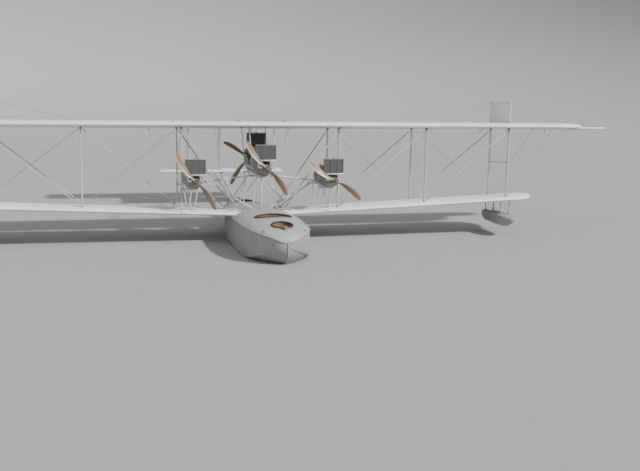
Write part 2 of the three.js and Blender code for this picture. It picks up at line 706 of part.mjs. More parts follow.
function centreTruss() {
  const barZ = CENTRE_AXIS_Z - CROSSBAR_DROP;
  const insideDeck = 1300;
  const bearers = [1, -1].map((s) => box(s * 230, 150, CENTRE_AXIS_Z - BEARER_DROP, 70, 3300, 90));
  const frames = SPARS_Y.flatMap((y) => [
    box(0, y, barZ, 970, 80, 70),
    strut(at(0, y, barZ), at(0, y, insideDeck), 90, 60),
    ...[1, -1].map((s) => strut(at(s * 150, y, barZ), footAt(s * 1400, y), 120, 52)),
  ]);
  const posts = [1, -1].map((s) =>
    strut(at(s * 440, REAR_SPAR_Y, barZ), at(s * 470, REAR_SPAR_Y, insideDeck), 90, 50),
  );
  return cut(join(bearers, frames, posts), grown(CENTRE_NACELLE), HULL_ROOM);
}

// A rail along the centre nacelle's flank, and the two struts that hang it from the upper wing
function cabane() {
  const x = 385 + GAP + 25;
  const z = CENTRE_AXIS_Z - 110;
  const rail = box(x, 300, z, 50, 2500, 70);
  const struts = SPARS_Y.map((y) => strut(at(x, y, z), headAt(600, y), 100, 46));
  return cut(join(rail, struts), moved(CENTRE_WING, 0, 0, -GAP));
}

function sideTruss() {
  const z = SIDE_AXIS_Z;
  const kneeX = ENGINE_X - 385 - GAP - 30;
  const bearers = [1, -1].map((s) => box(ENGINE_X + s * 220, 100, z - BEARER_DROP, 70, 2700, 90));
  const frames = SPARS_Y.flatMap((y) => [
    interplaneStrut(STATIONS.inner, y),
    box((kneeX - 30 + STATIONS.inner) / 2, y, z - CROSSBAR_DROP, STATIONS.inner - kneeX + 30, 80, 70),
    ...[1, -1].map((s) => strut(at(ENGINE_X + s * 220, y, z - 450), footAt(ENGINE_X + s * 60, y), 100, 56)),
  ]);
  const knee = box(kneeX, FRONT_SPAR_Y, z - 300, 60, 80, 390);
  const tie = strut(at(kneeX, FRONT_SPAR_Y, z - 146), at(470, FRONT_SPAR_Y, 3146), 110, 80);
  const brace = strut(at(2600, FRONT_SPAR_Y, z - 125), at(330, FRONT_SPAR_Y + 170, 1540), 96, 74);
  const barEnd = at(kneeX + 20, REAR_SPAR_Y, z - CROSSBAR_DROP);
  const rearBrace = strut(barEnd, at(1300, REAR_SPAR_Y + 130, 1300), 100, 60);
  return cut(
    join(bearers, frames, knee, tie, brace, rearBrace),
    grown(SIDE_NACELLE), moved(LOWER_WING, 0, 0, GAP), moved(CENTRE_WING, 0, 0, -GAP), HULL_ROOM,
    moved(CENTRE_TRUSS, GAP, 0, 0),
  );
}

// Shared pieces, kept so that their neighbours can be cut to them
const LOWER_WING = lowerWing(STUB_X + GAP);
const CENTRE_WING = centrePanel();
const UPPER_WING = upperWingPanel();
const HULL = hull();
const HULL_ROOM = [HULL, mirrored(HULL)].map((h) => moved(h, 0, 0, GAP));
const SIDE_NACELLE = cut(join(tub(SIDE_TUB), hood(SIDE_HOOD), cowls(SIDE_COWL)), noseRoom(NOSE_Y, 1))
  .translate(ENGINE_X, 0, SIDE_AXIS_Z);
const CENTRE_NACELLE = cut(
  join(tub(CENTRE_TUB), hood(CENTRE_HOOD), cowls(SIDE_COWL), cowls(PUSHER_COWL)),
  noseRoom(NOSE_Y, 1), noseRoom(PUSHER_NOSE_Y, -1),
).translate(0, 0, CENTRE_AXIS_Z);
const ENGINE = engine();
const CENTRE_TRUSS = centreTruss();
const SIDE_TRUSS = sideTruss();
const TAIL_UPPER = tailplane(TAIL_UPPER_X, TAIL_UPPER_Z);
const TAIL_LOWER = tailplane(TAIL_LOWER_X, TAIL_LOWER_Z);

const flyingBoat = new THREE.Group();
const PAINTS = {
  hull: { color: 0xd9dad6, roughness: 0.5, metalness: 0 },
  fabric: { color: 0xe6e4da, roughness: 0.75, metalness: 0 },
  strut: { color: 0xc4c2b8, roughness: 0.5, metalness: 0 },
  wood: { color: 0x8a6a48, roughness: 0.35, metalness: 0 },
  engine: { color: 0x77787a, roughness: 0.45, metalness: 0.8 },
  radiator: { color: 0x5a5b5a, roughness: 0.6, metalness: 0.4 },
  steel: { color: 0xa9aaa8, roughness: 0.35, metalness: 0.9 },
};

function add(name, geometry, paint) {
  const mesh = new THREE.Mesh(geometry, new THREE.MeshStandardMaterial(PAINTS[paint]));
  mesh.name = name;
  flyingBoat.add(mesh);
  return mesh;
}

add("hull", HULL, "hull");
add("upper_wing_centre", CENTRE_WING, "fabric");
add("nacelle_centre", CENTRE_NACELLE, "strut");
add("truss_centre", CENTRE_TRUSS, "strut");
add("tailplane_upper", TAIL_UPPER, "fabric");
add("tailplane_lower", TAIL_LOWER, "fabric");
add("elevator_upper", elevator(TAIL_UPPER_X, TAIL_UPPER_Z), "fabric");
add("elevator_lower", elevator(TAIL_LOWER_X, TAIL_LOWER_Z), "fabric");
add("fin_centre", tailFin(0), "fabric");
add("rudder_centre", rudder(0), "fabric");
add("boom_lower", lowerBoom(), "strut");

for (const [name, side] of SIDES) {
  add(`lower_wing_${name}`, sided(LOWER_WING, side), "fabric");
  add(`upper_wing_${name}`, sided(UPPER_WING, side), "fabric");
  add(`aileron_${name}`, sided(aileron(), side), "fabric");
  add(`float_${name}`, sided(tipFloat(), side), "hull");
  add(`skid_fin_${name}`, sided(skidFin(), side), "fabric");
  for (const [end, y] of [["front", FRONT_SPAR_Y], ["rear", REAR_SPAR_Y]]) {
    const middleStrut = betweenWings(interplaneStrut(STATIONS.middle, y));
    add(`strut_${end}_${name}`, sided(middleStrut, side), "strut");
  }
  add(`struts_outer_${name}`, sided(outerStruts(), side), "strut");
  add(`cabane_${name}`, sided(cabane(), side), "strut");
  add(`stays_front_${name}`, sided(stays(FRONT_SPAR_Y), side), "steel");
  add(`stays_rear_${name}`, sided(stays(REAR_SPAR_Y), side), "steel");
  add(`nacelle_${name}`, sided(SIDE_NACELLE, side), "strut");
  add(`truss_${name}`, sided(SIDE_TRUSS, side), "strut");
  add(`boom_upper_${name}`, sided(upperBoom(), side), "strut");
  add(`fin_${name}`, sided(tailFin(FIN_X), side), "fabric");
  add(`rudder_${name}`, sided(rudder(FIN_X), side), "fabric");
  add(`tail_struts_${name}`, sided(tailStruts(), side), "strut");
}

// Engines with their radiators and propellers. Columns: name, x, shaft z, nose y, faces aft, blades, blade
// angle in degrees from upright, how much higher its radiator stands
const POWER = [
  ["port", ENGINE_X, SIDE_AXIS_Z, NOSE_Y, false, 2, 54, 0],
  ["centre", 0, CENTRE_AXIS_Z, NOSE_Y, false, 2, 37.7, 60],
  ["starboard", -ENGINE_X, SIDE_AXIS_Z, NOSE_Y, false, 2, 35, 0],
  ["pusher", 0, CENTRE_AXIS_Z, PUSHER_NOSE_Y, true, 4, 35, 464],
];
for (const [name, x, z, noseY, aft, blades, angle, lift] of POWER) {
  const turn = (mesh) => mesh.rotateZ(aft ? Math.PI : 0);
  turn(add(`engine_${name}`, ENGINE, "engine")).position.set(x, noseY, z);
  const radiatorY = aft ? PUSHER_RADIATOR_Y : RADIATOR_Y;
  turn(add(`radiator_${name}`, radiator(lift, aft), "radiator")).position.set(x, radiatorY, z);
  const screw = add(`propeller_${name}`, propeller(blades, THREE.MathUtils.degToRad(angle)), "wood");
  turn(screw).position.set(x, noseY + GAP * (aft ? 1 : -1), z);
}

export default flyingBoat;
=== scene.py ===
"""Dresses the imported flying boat: smooth cloth-covered wings and tail, a planked hull, engines, rigging and
finishes, laid out as an add-on and run as a script. Metres: +X is the port wing, +Y is aft, +Z is up, and
the origin is on the waterline under the wings."""

import math

import bmesh
import bpy
from bpy.props import FloatProperty, FloatVectorProperty, IntProperty, PointerProperty
from mathutils import Matrix, Vector


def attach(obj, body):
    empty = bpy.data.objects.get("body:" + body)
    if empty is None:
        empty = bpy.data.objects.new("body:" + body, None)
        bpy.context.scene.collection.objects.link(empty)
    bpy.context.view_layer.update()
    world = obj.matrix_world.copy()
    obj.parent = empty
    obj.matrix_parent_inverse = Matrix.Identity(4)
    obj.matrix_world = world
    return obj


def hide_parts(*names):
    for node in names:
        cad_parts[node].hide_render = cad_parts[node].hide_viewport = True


bl_info = {
    "name": "Flying Boat",
    "version": (1, 0, 0),
    "blender": (4, 5, 0),
    "location": "View3D > Sidebar > Flying Boat",
    "description": "Builds the skins, engines, rigging and finishes of a four-engined biplane flying boat",
    "category": "Object",
}

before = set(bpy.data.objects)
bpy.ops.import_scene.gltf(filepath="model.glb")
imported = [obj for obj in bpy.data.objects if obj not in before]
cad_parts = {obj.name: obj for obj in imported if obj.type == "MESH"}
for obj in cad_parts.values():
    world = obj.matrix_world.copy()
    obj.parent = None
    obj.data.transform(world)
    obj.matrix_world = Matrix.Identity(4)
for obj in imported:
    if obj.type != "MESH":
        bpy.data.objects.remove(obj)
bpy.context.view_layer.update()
SIDES = (("port", 1), ("starboard", -1))

# The part's own sizes, as its source names them, in metres
CHORD = 3.658
WING_LE_Y = -1.2
WING_TE_Y = WING_LE_Y + CHORD
LOWER = {"leading": lambda x: 1.241 + abs(x) * 0.0438, "incidence": 0.055, "thick": 1.0}
UPPER = {"leading": lambda x: 5.4, "incidence": 0.07, "thick": 1.12}
FRONT_SPAR_Y, REAR_SPAR_Y = -0.75, 1.35
SPARS_Y = (FRONT_SPAR_Y, REAR_SPAR_Y)
STUB_X, CENTRE_PANEL_X, LOWER_TIP_X, UPPER_TIP_X = 1.5, 3.9, 14.33, 17.2
INNER_X, MIDDLE_X, OUTER_X, OVERHANG_X = 3.7, 8.1, 12.45, 14.8
AILERON_IN_X, AILERON_OUT_X, HORN_IN_X, AILERON_HINGE_Y = 11.3, 19.2, 17.26, 1.535
ENGINE_X, SIDE_AXIS_Z, CENTRE_AXIS_Z = 3.19, 3.01, 3.59
NOSE_Y, PUSHER_NOSE_Y = -2.08, 2.7
PROP_RADIUS, HUB_DEPTH = 1.52, 0.18
STEP_Y = 0.55
TAIL_LE_Y, TAIL_HINGE_Y, TAIL_TE_Y = 11.7, 13.06, 14.13
TAILS = (("upper", 4.95, 5.78), ("lower", 2.1, 3.8))
TAIL_THICK, ELEVATOR_THICK, RUDDER_THICK = 0.13, 0.12, 0.07
FIN_X, RUDDER_HINGE_Y, RUDDER_TE_Y = 1.9, 12.86, 13.65
GAP = 0.0004

# The wing's section. Columns: square root of the share of the chord, height as a share of the chord
SECTION_TOP = [
    (0, 0.0205), (0.063, 0.03), (0.173, 0.047), (0.346, 0.064),
    (0.566, 0.073), (0.775, 0.061), (0.906, 0.034), (1, 0.006),
]
SECTION_UNDER = [
    (0, 0.0205), (0.063, 0.012), (0.173, 0.001), (0.346, 0.002),
    (0.566, 0.006), (0.775, 0.008), (0.906, 0.006), (1, 0),
]
MEAN_HEIGHT = 0.03

# Hull. Columns: y, keel z, chine half-breadth, chine z, deck-edge half-breadth, deck-edge z, deck crown z
HULL_FORE = [
    (-6.7, 0.72, 0.04, 0.8, 0.06, 0.97, 1.02),
    (-6.675, 0.59, 0.16, 0.745, 0.21, 1.005, 1.1),
    (-6.6, 0.43, 0.325, 0.67, 0.395, 1.075, 1.2),
    (-6.48, 0.28, 0.48, 0.6, 0.56, 1.14, 1.29),
    (-5.95, -0.1, 0.92, 0.4, 0.98, 1.23, 1.45),
    (-4.95, -0.48, 1.29, 0.14, 1.29, 1.27, 1.59),
    (-3.7, -0.74, 1.47, -0.03, 1.43, 1.28, 1.65),
    (-2.4, -0.86, 1.52, -0.13, 1.46, 1.275, 1.64),
    (0.55, -0.86, 1.5, -0.19, 1.42, 1.225, 1.54),
]
HULL_AFT = [
    (0.49, -0.67, 1.44, -0.06, 1.42, 1.225, 1.54),
    (2.6, -0.47, 1.18, 0.06, 1.2, 1.19, 1.43),
    (4.5, -0.15, 0.76, 0.28, 0.8, 1.15, 1.32),
    (5.9, 0.24, 0.4, 0.54, 0.43, 1.11, 1.24),
    (6.94, 0.64, 0.09, 0.82, 0.11, 1.04, 1.11),
]
# The deck's crown. Columns: share of the half-breadth, share of the rise
DECK_CROWN = [(0, 1), (0.2, 0.98), (0.56, 0.8), (0.86, 0.42), (1, 0)]
# Cockpits. Columns: name, y, half length, half width, floor z
COCKPITS = (
    ("bow", -5.45, 0.43, 0.43, 0.56), ("pilots", -3.55, 0.42, 0.8, 0.62), ("aft", 3.9, 0.43, 0.38, 0.52),
)


# Shapes
def at(x, y, z):
    return Vector((x, y, z))


def through(rows, t, column=1):
    """A column's value at t in the first column, on a smooth curve through the rows."""
    t = min(max(t, rows[0][0]), rows[-1][0])
    i = next(k for k in range(len(rows) - 1) if t <= rows[k + 1][0])

    def slope(k):
        return (rows[k + 1][column] - rows[k][column]) / (rows[k + 1][0] - rows[k][0])

    def tangent(k):
        before, after = slope(max(k - 1, 0)), slope(min(k, len(rows) - 2))
        return 0 if before * after <= 0 else 2 * before * after / (before + after)

    span = rows[i + 1][0] - rows[i][0]
    s = (t - rows[i][0]) / span
    return (
        ((2 * s - 3) * s * s + 1) * rows[i][column] + s * (s - 1) ** 2 * span * tangent(i)
        + s * s * (3 - 2 * s) * rows[i + 1][column] + s * s * (s - 1) * span * tangent(i + 1)
    )


def ease(t, start, end):
    """0 before start, 1 after end, and a smooth rise between."""
    t = min(max((t - start) / (end - start), 0), 1)
    return t * t * (3 - 2 * t)


def skin(bm, rings):
    """Lays a grid over a row of rings that have the same number of points, and closes its ends."""
    across, along = len(rings[0]), len(rings) - 1
    grid = bmesh.ops.create_grid(bm, x_segments=across, y_segments=along, size=0.5)["verts"]
    for vert in grid:
        i, j = round((vert.co.x + 0.5) * across), round((vert.co.y + 0.5) * along)
        vert.co = rings[j][i % across]
    faces = {face for vert in grid for face in vert.link_faces}
    bmesh.ops.remove_doubles(bm, verts=grid, dist=2e-5)
    rims = {edge for face in faces if face.is_valid for edge in face.edges if edge.is_boundary}
    bmesh.ops.holes_fill(bm, edges=list(rims), sides=0)


def frames(points):
    """Two directions square to a path at each of its points, that don't twist along it."""
    points = [Vector(p) for p in points]
    ways = [
        (points[min(i + 1, len(points) - 1)] - points[max(i - 1, 0)]).normalized() for i in range(len(points))
    ]
    side = ways[0].orthogonal().normalized()
    found = []
    for way in ways:
        side = (side - way * side.dot(way)).normalized()
        found.append((side, way.cross(side)))
    return found


def pipe(bm, points, radius, sides=8):
    """A round pipe along a path; radius is one number or one for each point."""
    radii = radius if isinstance(radius, (list, tuple)) else [radius] * len(points)
    turns = [2 * math.pi * k / sides for k in range(sides)]
    skin(bm, [
        [Vector(p) + (a * math.cos(t) + b * math.sin(t)) * r for t in turns]
        for p, (a, b), r in zip(points, frames(points), radii)
    ])


def bend(points, steps=6):
    """A smooth path through a few points."""
    points = [Vector(p) for p in points]
    rows = [[(i, p[axis]) for i, p in enumerate(points)] for axis in range(3)]
    count = (len(points) - 1) * steps
    return [Vector([through(row, k / steps) for row in rows]) for k in range(count + 1)]


def stand(a, b):
    """The place of a shape made along Z from 0, put on a with its Z towards b."""
    a, b = Vector(a), Vector(b)
    return Matrix.Translation(a) @ (b - a).to_track_quat("Z", "Y").to_matrix().to_4x4()


def rod(bm, a, b, radius, sides=8, end=None):
    """A round or, with few sides, a flat-sided bar from a to b."""
    length = (Vector(b) - Vector(a)).length
    bmesh.ops.create_cone(
        bm, cap_ends=True, segments=sides, radius1=radius, radius2=radius if end is None else end,
        depth=length, matrix=stand(a, b) @ Matrix.Translation((0, 0, length / 2)),
    )


def turned(bm, profile, place, steps=20):
    """A profile of (radius, height) spun round Z, then put in its place."""
    verts = [bm.verts.new((radius, 0, height)) for radius, height in profile]
    edges = [bm.edges.new(pair) for pair in zip(verts, verts[1:])]
    bmesh.ops.spin(
        bm, geom=verts + edges, cent=(0, 0, 0), axis=(0, 0, 1), angle=2 * math.pi, steps=steps, use_merge=True,
    )
    spun = grow_from(verts)
    bmesh.ops.transform(bm, matrix=place, verts=spun)
    bmesh.ops.remove_doubles(bm, verts=spun, dist=1e-6)


def grow_from(verts):
    """Every vertex joined to these by edges."""
    found, edge = set(verts), list(verts)
    while edge:
        for link in edge.pop().link_edges:
            for vert in link.verts:
                if vert not in found:
                    found.add(vert)
                    edge.append(vert)
    return list(found)


def block(bm, centre, size, rounding=0.0, turn=None, segments=2):
    """A box with rounded edges."""
    place = Matrix.Translation(centre) @ (turn or Matrix.Identity(4)) @ Matrix.Diagonal((*size, 1))
    verts = bmesh.ops.create_cube(bm, size=1, matrix=place)["verts"]
    if rounding:
        edges = list({edge for vert in verts for edge in vert.link_edges})
        bmesh.ops.bevel(
            bm, geom=edges, offset=rounding, offset_type="OFFSET", segments=segments, affect="EDGES",
            profile=0.5, material=-1,
        )


def bolt(bm, foot, way, radius):
    """A hexagonal bolt head with its washer."""
    foot, way = Vector(foot), Vector(way).normalized()
    rod(bm, foot, foot + way * radius * 0.35, radius * 1.5, 10)
    rod(bm, foot + way * radius * 0.3, foot + way * radius * 1.2, radius, 6)


def faired(bm, a, b, chord, thick, taper=0.72, sides=14, steps=8):
    """A streamlined strut, its chord fore and aft, drawn in towards its ends."""
    a, b = Vector(a), Vector(b)
    axis = (b - a).normalized()
    fore = (at(0, 1, 0) - axis * axis.y).normalized()
    across = axis.cross(fore)
    rings = []
    for k in range(steps + 1):
        s = k / steps
        size = 1 - (1 - taper) * abs(2 * s - 1) ** 3
        ring = []
        for i in range(sides):
            turn = 2 * math.pi * i / sides
            back = -0.5 * chord * size * math.cos(turn)
            wide = 0.5 * thick * size * math.sin(turn) * (1 + 0.35 * math.cos(turn))
            ring.append(a.lerp(b, s) + fore * back + across * wide)
        rings.append(ring)
    skin(bm, rings)


def mark(bm, index):
    """Gives the faces made since the last call the piece's finish of that index, kept as one more until the end."""
    for face in bm.faces:
        if face.material_index == 0:
            face.material_index = index + 1


def piece(bm, name, finishes, stands_for=(), body="airframe", sharp=34, mirror=False, loose=True):
    """Turns a bmesh into a finished object that rides on its body."""
    if loose:
        bmesh.ops.remove_doubles(bm, verts=bm.verts, dist=1e-5)
    if mirror:
        bmesh.ops.scale(bm, vec=(-1, 1, 1), verts=bm.verts)
    bmesh.ops.recalc_face_normals(bm, faces=bm.faces)
    for face in bm.faces:
        face.smooth = True
        face.material_index = max(face.material_index - 1, 0)
    limit = math.radians(sharp)
    for edge in bm.edges:
        edge.smooth = len(edge.link_faces) == 2 and edge.calc_face_angle(0) < limit
    mesh = bpy.data.meshes.new(name)
    bm.to_mesh(mesh)
    bm.free()
    made = bpy.data.objects.new(name, mesh)
    bpy.context.scene.collection.objects.link(made)
    for finish in [finishes] if isinstance(finishes, str) else finishes:
        mesh.materials.append(finish_of(finish))
    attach(made, body)
    if stands_for:
        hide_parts(*([stands_for] if isinstance(stands_for, str) else stands_for))
    return made


# Shader maths
class Field:
    """A shader value that changes over the surface. Arithmetic on it adds Math nodes."""

    def __init__(self, paint, socket):
        self.paint, self.socket = paint, socket

    def math(self, operation, *values):
        return self.paint.node("Math", {"operation": operation}, dict(enumerate(values)))

    def __add__(self, other):
        return self.math("ADD", self, other)

    def __sub__(self, other):
        return self.math("SUBTRACT", self, other)

    def __rsub__(self, other):
        return self.math("SUBTRACT", other, self)

    def __mul__(self, other):
        return self.math("MULTIPLY", self, other)

    def __truediv__(self, other):
        return self.math("DIVIDE", self, other)

    __radd__ = __add__
    __rmul__ = __mul__

    def size(self):
        return self.math("ABSOLUTE", self)

    def share(self, pitch):
        """How far along each repeat of a pitch, from 0 to 1."""
        return self.math("FRACT", self / pitch)

    def step(self, start, end):
        """0 before start and 1 after end, smooth between."""
        return self.paint.node(
            "MapRange", {"interpolation_type": "SMOOTHSTEP"}, {0: self, 1: start, 2: end, 3: 0.0, 4: 1.0}
        )

    def line(self, pitch, width, soft=0.5):
        """1 on lines of a width at every whole pitch."""
        near = (self.share(pitch) - 0.5).size()
        half = width / pitch / 2
        return near.step(0.5 - half * (1 + soft), 0.5 - half)


class Paint:
    """One material: its nodes are made by calls on this."""

    def __init__(self, name):
        self.material = bpy.data.materials.new(name)
        self.material.use_nodes = True
        self.tree = self.material.node_tree
        self.shader = self.tree.nodes["Principled BSDF"]
        self.spot = self.node("TexCoord", output=3)
        parts = [self.node("SeparateXYZ", {}, {0: self.spot}, output=k) for k in range(3)]
        self.x, self.y, self.z = parts

    def node(self, kind, settings=None, sockets=None, output=0):
        """Any node: its type, its settings, which are set first, and the values or links of its sockets."""
        made = self.tree.nodes.new("ShaderNode" + kind)
        for key, value in (settings or {}).items():
            setattr(made, key, value)
        for key, value in (sockets or {}).items():
            self.plug(made.inputs[key], value)
        return Field(self, made.outputs[output])

    def plug(self, socket, value):
        if isinstance(value, Field):
            self.tree.links.new(value.socket, socket)
        elif isinstance(value, tuple) and len(value) == 3 and socket.type == "RGBA":
            socket.default_value = (*value, 1)
        else:
            socket.default_value = value

    def cloud(self, scale, stretch=(1, 1, 1), detail=3.0, rough=0.55, start=0.35, end=0.65):
        """Soft noise from 0 to 1, with scale repeats to the metre, drawn out along an axis by a small stretch."""
        spot = self.node("Mapping", {"vector_type": "POINT"}, {"Vector": self.spot, "Scale": stretch})
        raw = self.node(
            "TexNoise", {"noise_dimensions": "3D"},
            {"Vector": spot, "Scale": scale, "Detail": detail, "Roughness": rough},
        )
        return raw.step(start, end)

    def cells(self, scale, stretch=(1, 1, 1), feature="F1"):
        spot = self.node("Mapping", {"vector_type": "POINT"}, {"Vector": self.spot, "Scale": stretch})
        return self.node("TexVoronoi", {"feature": feature}, {"Vector": spot, "Scale": scale})

    def blend(self, factor, a, b):
        """Colour a where factor is 0 and b where it is 1."""
        return self.node("Mix", {"data_type": "RGBA"}, {0: factor, 6: a, 7: b}, output=2)

    def done(self, colour, roughness, height=None, metallic=0.0, **fixed):
        """Joins what was made to the shader; height is in metres."""
        self.plug(self.shader.inputs["Base Color"], colour)
        self.plug(self.shader.inputs["Roughness"], roughness)
        self.plug(self.shader.inputs["Metallic"], metallic)
        if height is not None:
            bump = self.node("Bump", {}, {"Strength": 1.0, "Distance": 1.0, "Height": height})
            self.plug(self.shader.inputs["Normal"], bump)
        for key, value in fixed.items():
            self.plug(self.shader.inputs[key.replace("_", " ")], value)
        return self.material


# Finishes
def shades(colour, darker, warmth=0.0):
    """A darker, and perhaps warmer, form of a colour."""
    red, green, blue = colour
    return (red * darker * (1 + warmth), green * darker, blue * darker * (1 - warmth))


def cloth(paint, across):
    """Doped cloth over ribs that repeat along one axis: tapes with painted shade along their edges, stitches, weave and
    soft stains.
    """
    look = bpy.context.scene.boat_finishes
    pitch = bpy.context.scene.boat_shapes.rib_pitch
    white = tuple(look.cloth)
    tape = across.line(pitch, 0.045)
    seam = across.line(pitch, 0.006) * paint.y.line(0.05, 0.022)
    spar = paint.y.line(2.1, 0.07) * 0.4
    weave = paint.cells(220).size()
    stain = paint.cloud(0.55, (1, 0.6, 1), detail=5, start=0.38, end=0.72)
    streak = paint.cloud(2.2, (1, 0.12, 1), detail=4, start=0.5, end=0.8)
    colour = paint.blend(stain * 0.55, white, shades(white, 0.86, 0.02))
    colour = paint.blend(streak * 0.4, colour, shades(white, 0.72, 0.03))
    # painted shade: a darker band along each edge of the rib tapes stands in for the shade beside them
    edge = across.line(pitch, 0.062) - tape
    colour = paint.blend(edge * 0.4, colour, shades(white, 0.66, 0.02))
    colour = paint.blend(tape * 0.5 + spar * 0.4, colour, shades(white, 1.1))
    colour = paint.blend(seam * 0.6, colour, shades(white, 0.5))
    rough = 0.62 + stain * 0.14 - tape * 0.06
    height = tape * 0.002 + seam * 0.001 + weave * 0.0003 + paint.cloud(6, detail=2) * 0.0014
    return paint.done(colour, rough, height)


def planked(paint, across, pitch, name):
    """Paint over narrow planks, with seams, nail heads and wear, and a wet stain at the waterline."""
    grey = tuple(getattr(bpy.context.scene.boat_finishes, name))
    seam = across.line(pitch, 0.006)
    butt = paint.y.line(1.9, 0.006) * 0.5
    nails = across.line(pitch, 0.03) * paint.y.line(0.15, 0.012) - seam
    grain = paint.cloud(14, (1, 0.06, 1), detail=4)
    patch = paint.cloud(0.8, detail=5, start=0.35, end=0.75)
    scuff = paint.cloud(5, (1, 0.3, 1), detail=6, start=0.62, end=0.72)
    wet = 1 - (paint.z + paint.cloud(3, detail=4) * 0.12).step(0.06, 0.2)
    colour = paint.blend(patch * 0.6, grey, shades(grey, 0.84, 0.01))
    colour = paint.blend(grain * 0.25, colour, shades(grey, 0.78, 0.03))
    colour = paint.blend(scuff * 0.35, colour, shades(grey, 0.55, 0.08))
    colour = paint.blend(seam * 0.6 + butt * 0.5 + nails * 0.25, colour, shades(grey, 0.45))
    colour = paint.blend(wet * 0.75, colour, shades(grey, 0.3, 0.06))
    rough = 0.5 + patch * 0.15 - wet * 0.28 + scuff * 0.15
    height = grain * 0.0006 - seam * 0.0025 - butt * 0.0015 + nails * 0.0006 + patch * 0.001
    return paint.done(colour, rough, height)


def sheet_metal(paint):
    """Painted sheet in panels, with rivets along the joints and oil drawn aft."""
    grey = tuple(bpy.context.scene.boat_finishes.nacelle)
    joint = paint.y.line(0.62, 0.006)
    rivets = paint.y.line(0.62, 0.05) * paint.z.line(0.045, 0.012) - joint
    patch = paint.cloud(1.6, detail=4)
    oil = paint.cloud(4.5, (1, 0.14, 1), detail=5, start=0.52, end=0.75)
    chips = paint.cloud(26, detail=4, start=0.66, end=0.7)
    colour = paint.blend(patch * 0.5, grey, shades(grey, 0.85))
    colour = paint.blend(oil * 0.6, colour, shades(grey, 0.4, 0.08))
    colour = paint.blend(joint * 0.6 + chips * 0.5, colour, shades(grey, 0.5))
    rough = 0.42 + patch * 0.12 - oil * 0.18 + chips * 0.2
    height = rivets * 0.0012 - joint * 0.0012 + patch * 0.0015
    return paint.done(colour, rough, height, metallic=0.15)


def strut_wood(paint):
    """Painted spruce: long grain, cloth wraps at intervals, and darker ends of the brush marks."""
    pale = tuple(bpy.context.scene.boat_finishes.strut)
    grain = paint.cloud(55, (1, 1, 0.03), detail=4)
    wrap = paint.z.line(0.86, 0.09)
    patch = paint.cloud(2.5, detail=4)
    colour = paint.blend(grain * 0.35 + patch * 0.25, pale, shades(pale, 0.74, 0.03))
    colour = paint.blend(wrap * 0.5, colour, shades(pale, 1.12))
    height = grain * 0.0003 + wrap * 0.001
    return paint.done(colour, 0.48 + grain * 0.12 + wrap * 0.12, height)


def propeller_wood(paint):
    """Varnished wood glued from boards across the shaft, so that the carved blades show their edges."""
    brown = tuple(bpy.context.scene.boat_finishes.wood)
    layer = (paint.y + paint.cloud(1.2, detail=2) * 0.004).share(0.046)
    dark = layer.step(0.46, 0.54) - layer.step(0.94, 1.0)
    glue = paint.y.line(0.023, 0.0015)
    grain = paint.cloud(30, (0.25, 3, 0.25), detail=6, start=0.3, end=0.7)
    fine = paint.cloud(160, (0.3, 3, 0.3), detail=3)
    colour = paint.blend(dark * 0.6, shades(brown, 1.3), shades(brown, 0.72, 0.04))
    colour = paint.blend(grain * 0.5, colour, shades(brown, 0.5, 0.06))
    colour = paint.blend(glue * 0.5, colour, shades(brown, 0.35))
    height = grain * 0.0003 + fine * 0.0001
    return paint.done(colour, 0.3 + grain * 0.15, height, Coat_Weight=0.35, Coat_Roughness=0.12)


def plain_wood(paint):
    brown = tuple(bpy.context.scene.boat_finishes.wood)
    grain = paint.cloud(26, (1, 0.06, 1), detail=6, start=0.3, end=0.7)
    board = paint.x.line(0.12, 0.006)
    colour = paint.blend(grain * 0.6, shades(brown, 1.0, 0.03), shades(brown, 0.55, 0.06))
    colour = paint.blend(board * 0.7, colour, shades(brown, 0.3))
    return paint.done(colour, 0.55 + grain * 0.15, grain * 0.0005 - board * 0.002)


def metal(paint, colour, rough, metallic, grime=0.5, cast=0.0, oil=0.0):
    """A bare or blackened metal: handling marks, grime in patches, a cast skin and oil."""
    patch = paint.cloud(9, detail=5)
    speck = paint.cloud(70, detail=4, start=0.55, end=0.7)
    tone = paint.blend(patch * grime, colour, shades(colour, 0.55, 0.05))
    tone = paint.blend(speck * grime * 0.6, tone, shades(colour, 0.4, 0.1))
    wet = paint.cloud(5, (1, 0.4, 1), detail=3, start=0.5, end=0.7) * oil
    tone = paint.blend(wet, tone, shades(colour, 0.35, 0.05))
    height = paint.cloud(240, detail=3) * cast * 0.0012 + speck * 0.0003
    return paint.done(tone, rough + patch * 0.14 - wet * 0.15, height, metallic=metallic)


def wire(paint):
    """Galvanised stranded wire: the strands as fine slanting ridges, dulled in patches."""
    steel = tuple(bpy.context.scene.boat_finishes.wire)
    strand = (paint.x + paint.z + paint.y).line(0.02, 0.01)
    patch = paint.cloud(3, detail=4)
    colour = paint.blend(patch * 0.5 + strand * 0.3, steel, shades(steel, 0.6, 0.04))
    return paint.done(colour, 0.45 + patch * 0.2, strand * 0.0008, metallic=0.7)


def radiator_core(paint):
    """A honeycomb of small tubes: thin bright rims round mouths painted dark as the shade inside the tubes, some
    clogged.
    """
    dark = tuple(bpy.context.scene.boat_finishes.radiator)
    pitch = 0.02
    row = paint.z.share(pitch * 2)
    shifted = paint.x + row.step(0.499, 0.501) * (pitch / 2)
    rim = 1 - (1 - shifted.line(pitch, 0.004)) * (1 - paint.z.line(pitch, 0.004))
    dust = paint.cloud(5, detail=4)
    # painted shade: away from the rims the colour is darkened for the shade inside the tube mouths
    colour = paint.blend(rim * 0.7, shades(dark, 0.35), shades(dark, 1.7))
    colour = paint.blend(dust * 0.35, colour, shades(dark, 1.1, 0.05))
    return paint.done(colour, 0.6 - rim * 0.2 + dust * 0.15, rim * 0.003, metallic=0.3)


def rubber(paint):
    patch = paint.cloud(20, detail=4)
    colour = paint.blend(patch * 0.6, (0.035, 0.034, 0.033), (0.075, 0.072, 0.068))
    return paint.done(colour, 0.7 + patch * 0.15, paint.cloud(150) * 0.0004)


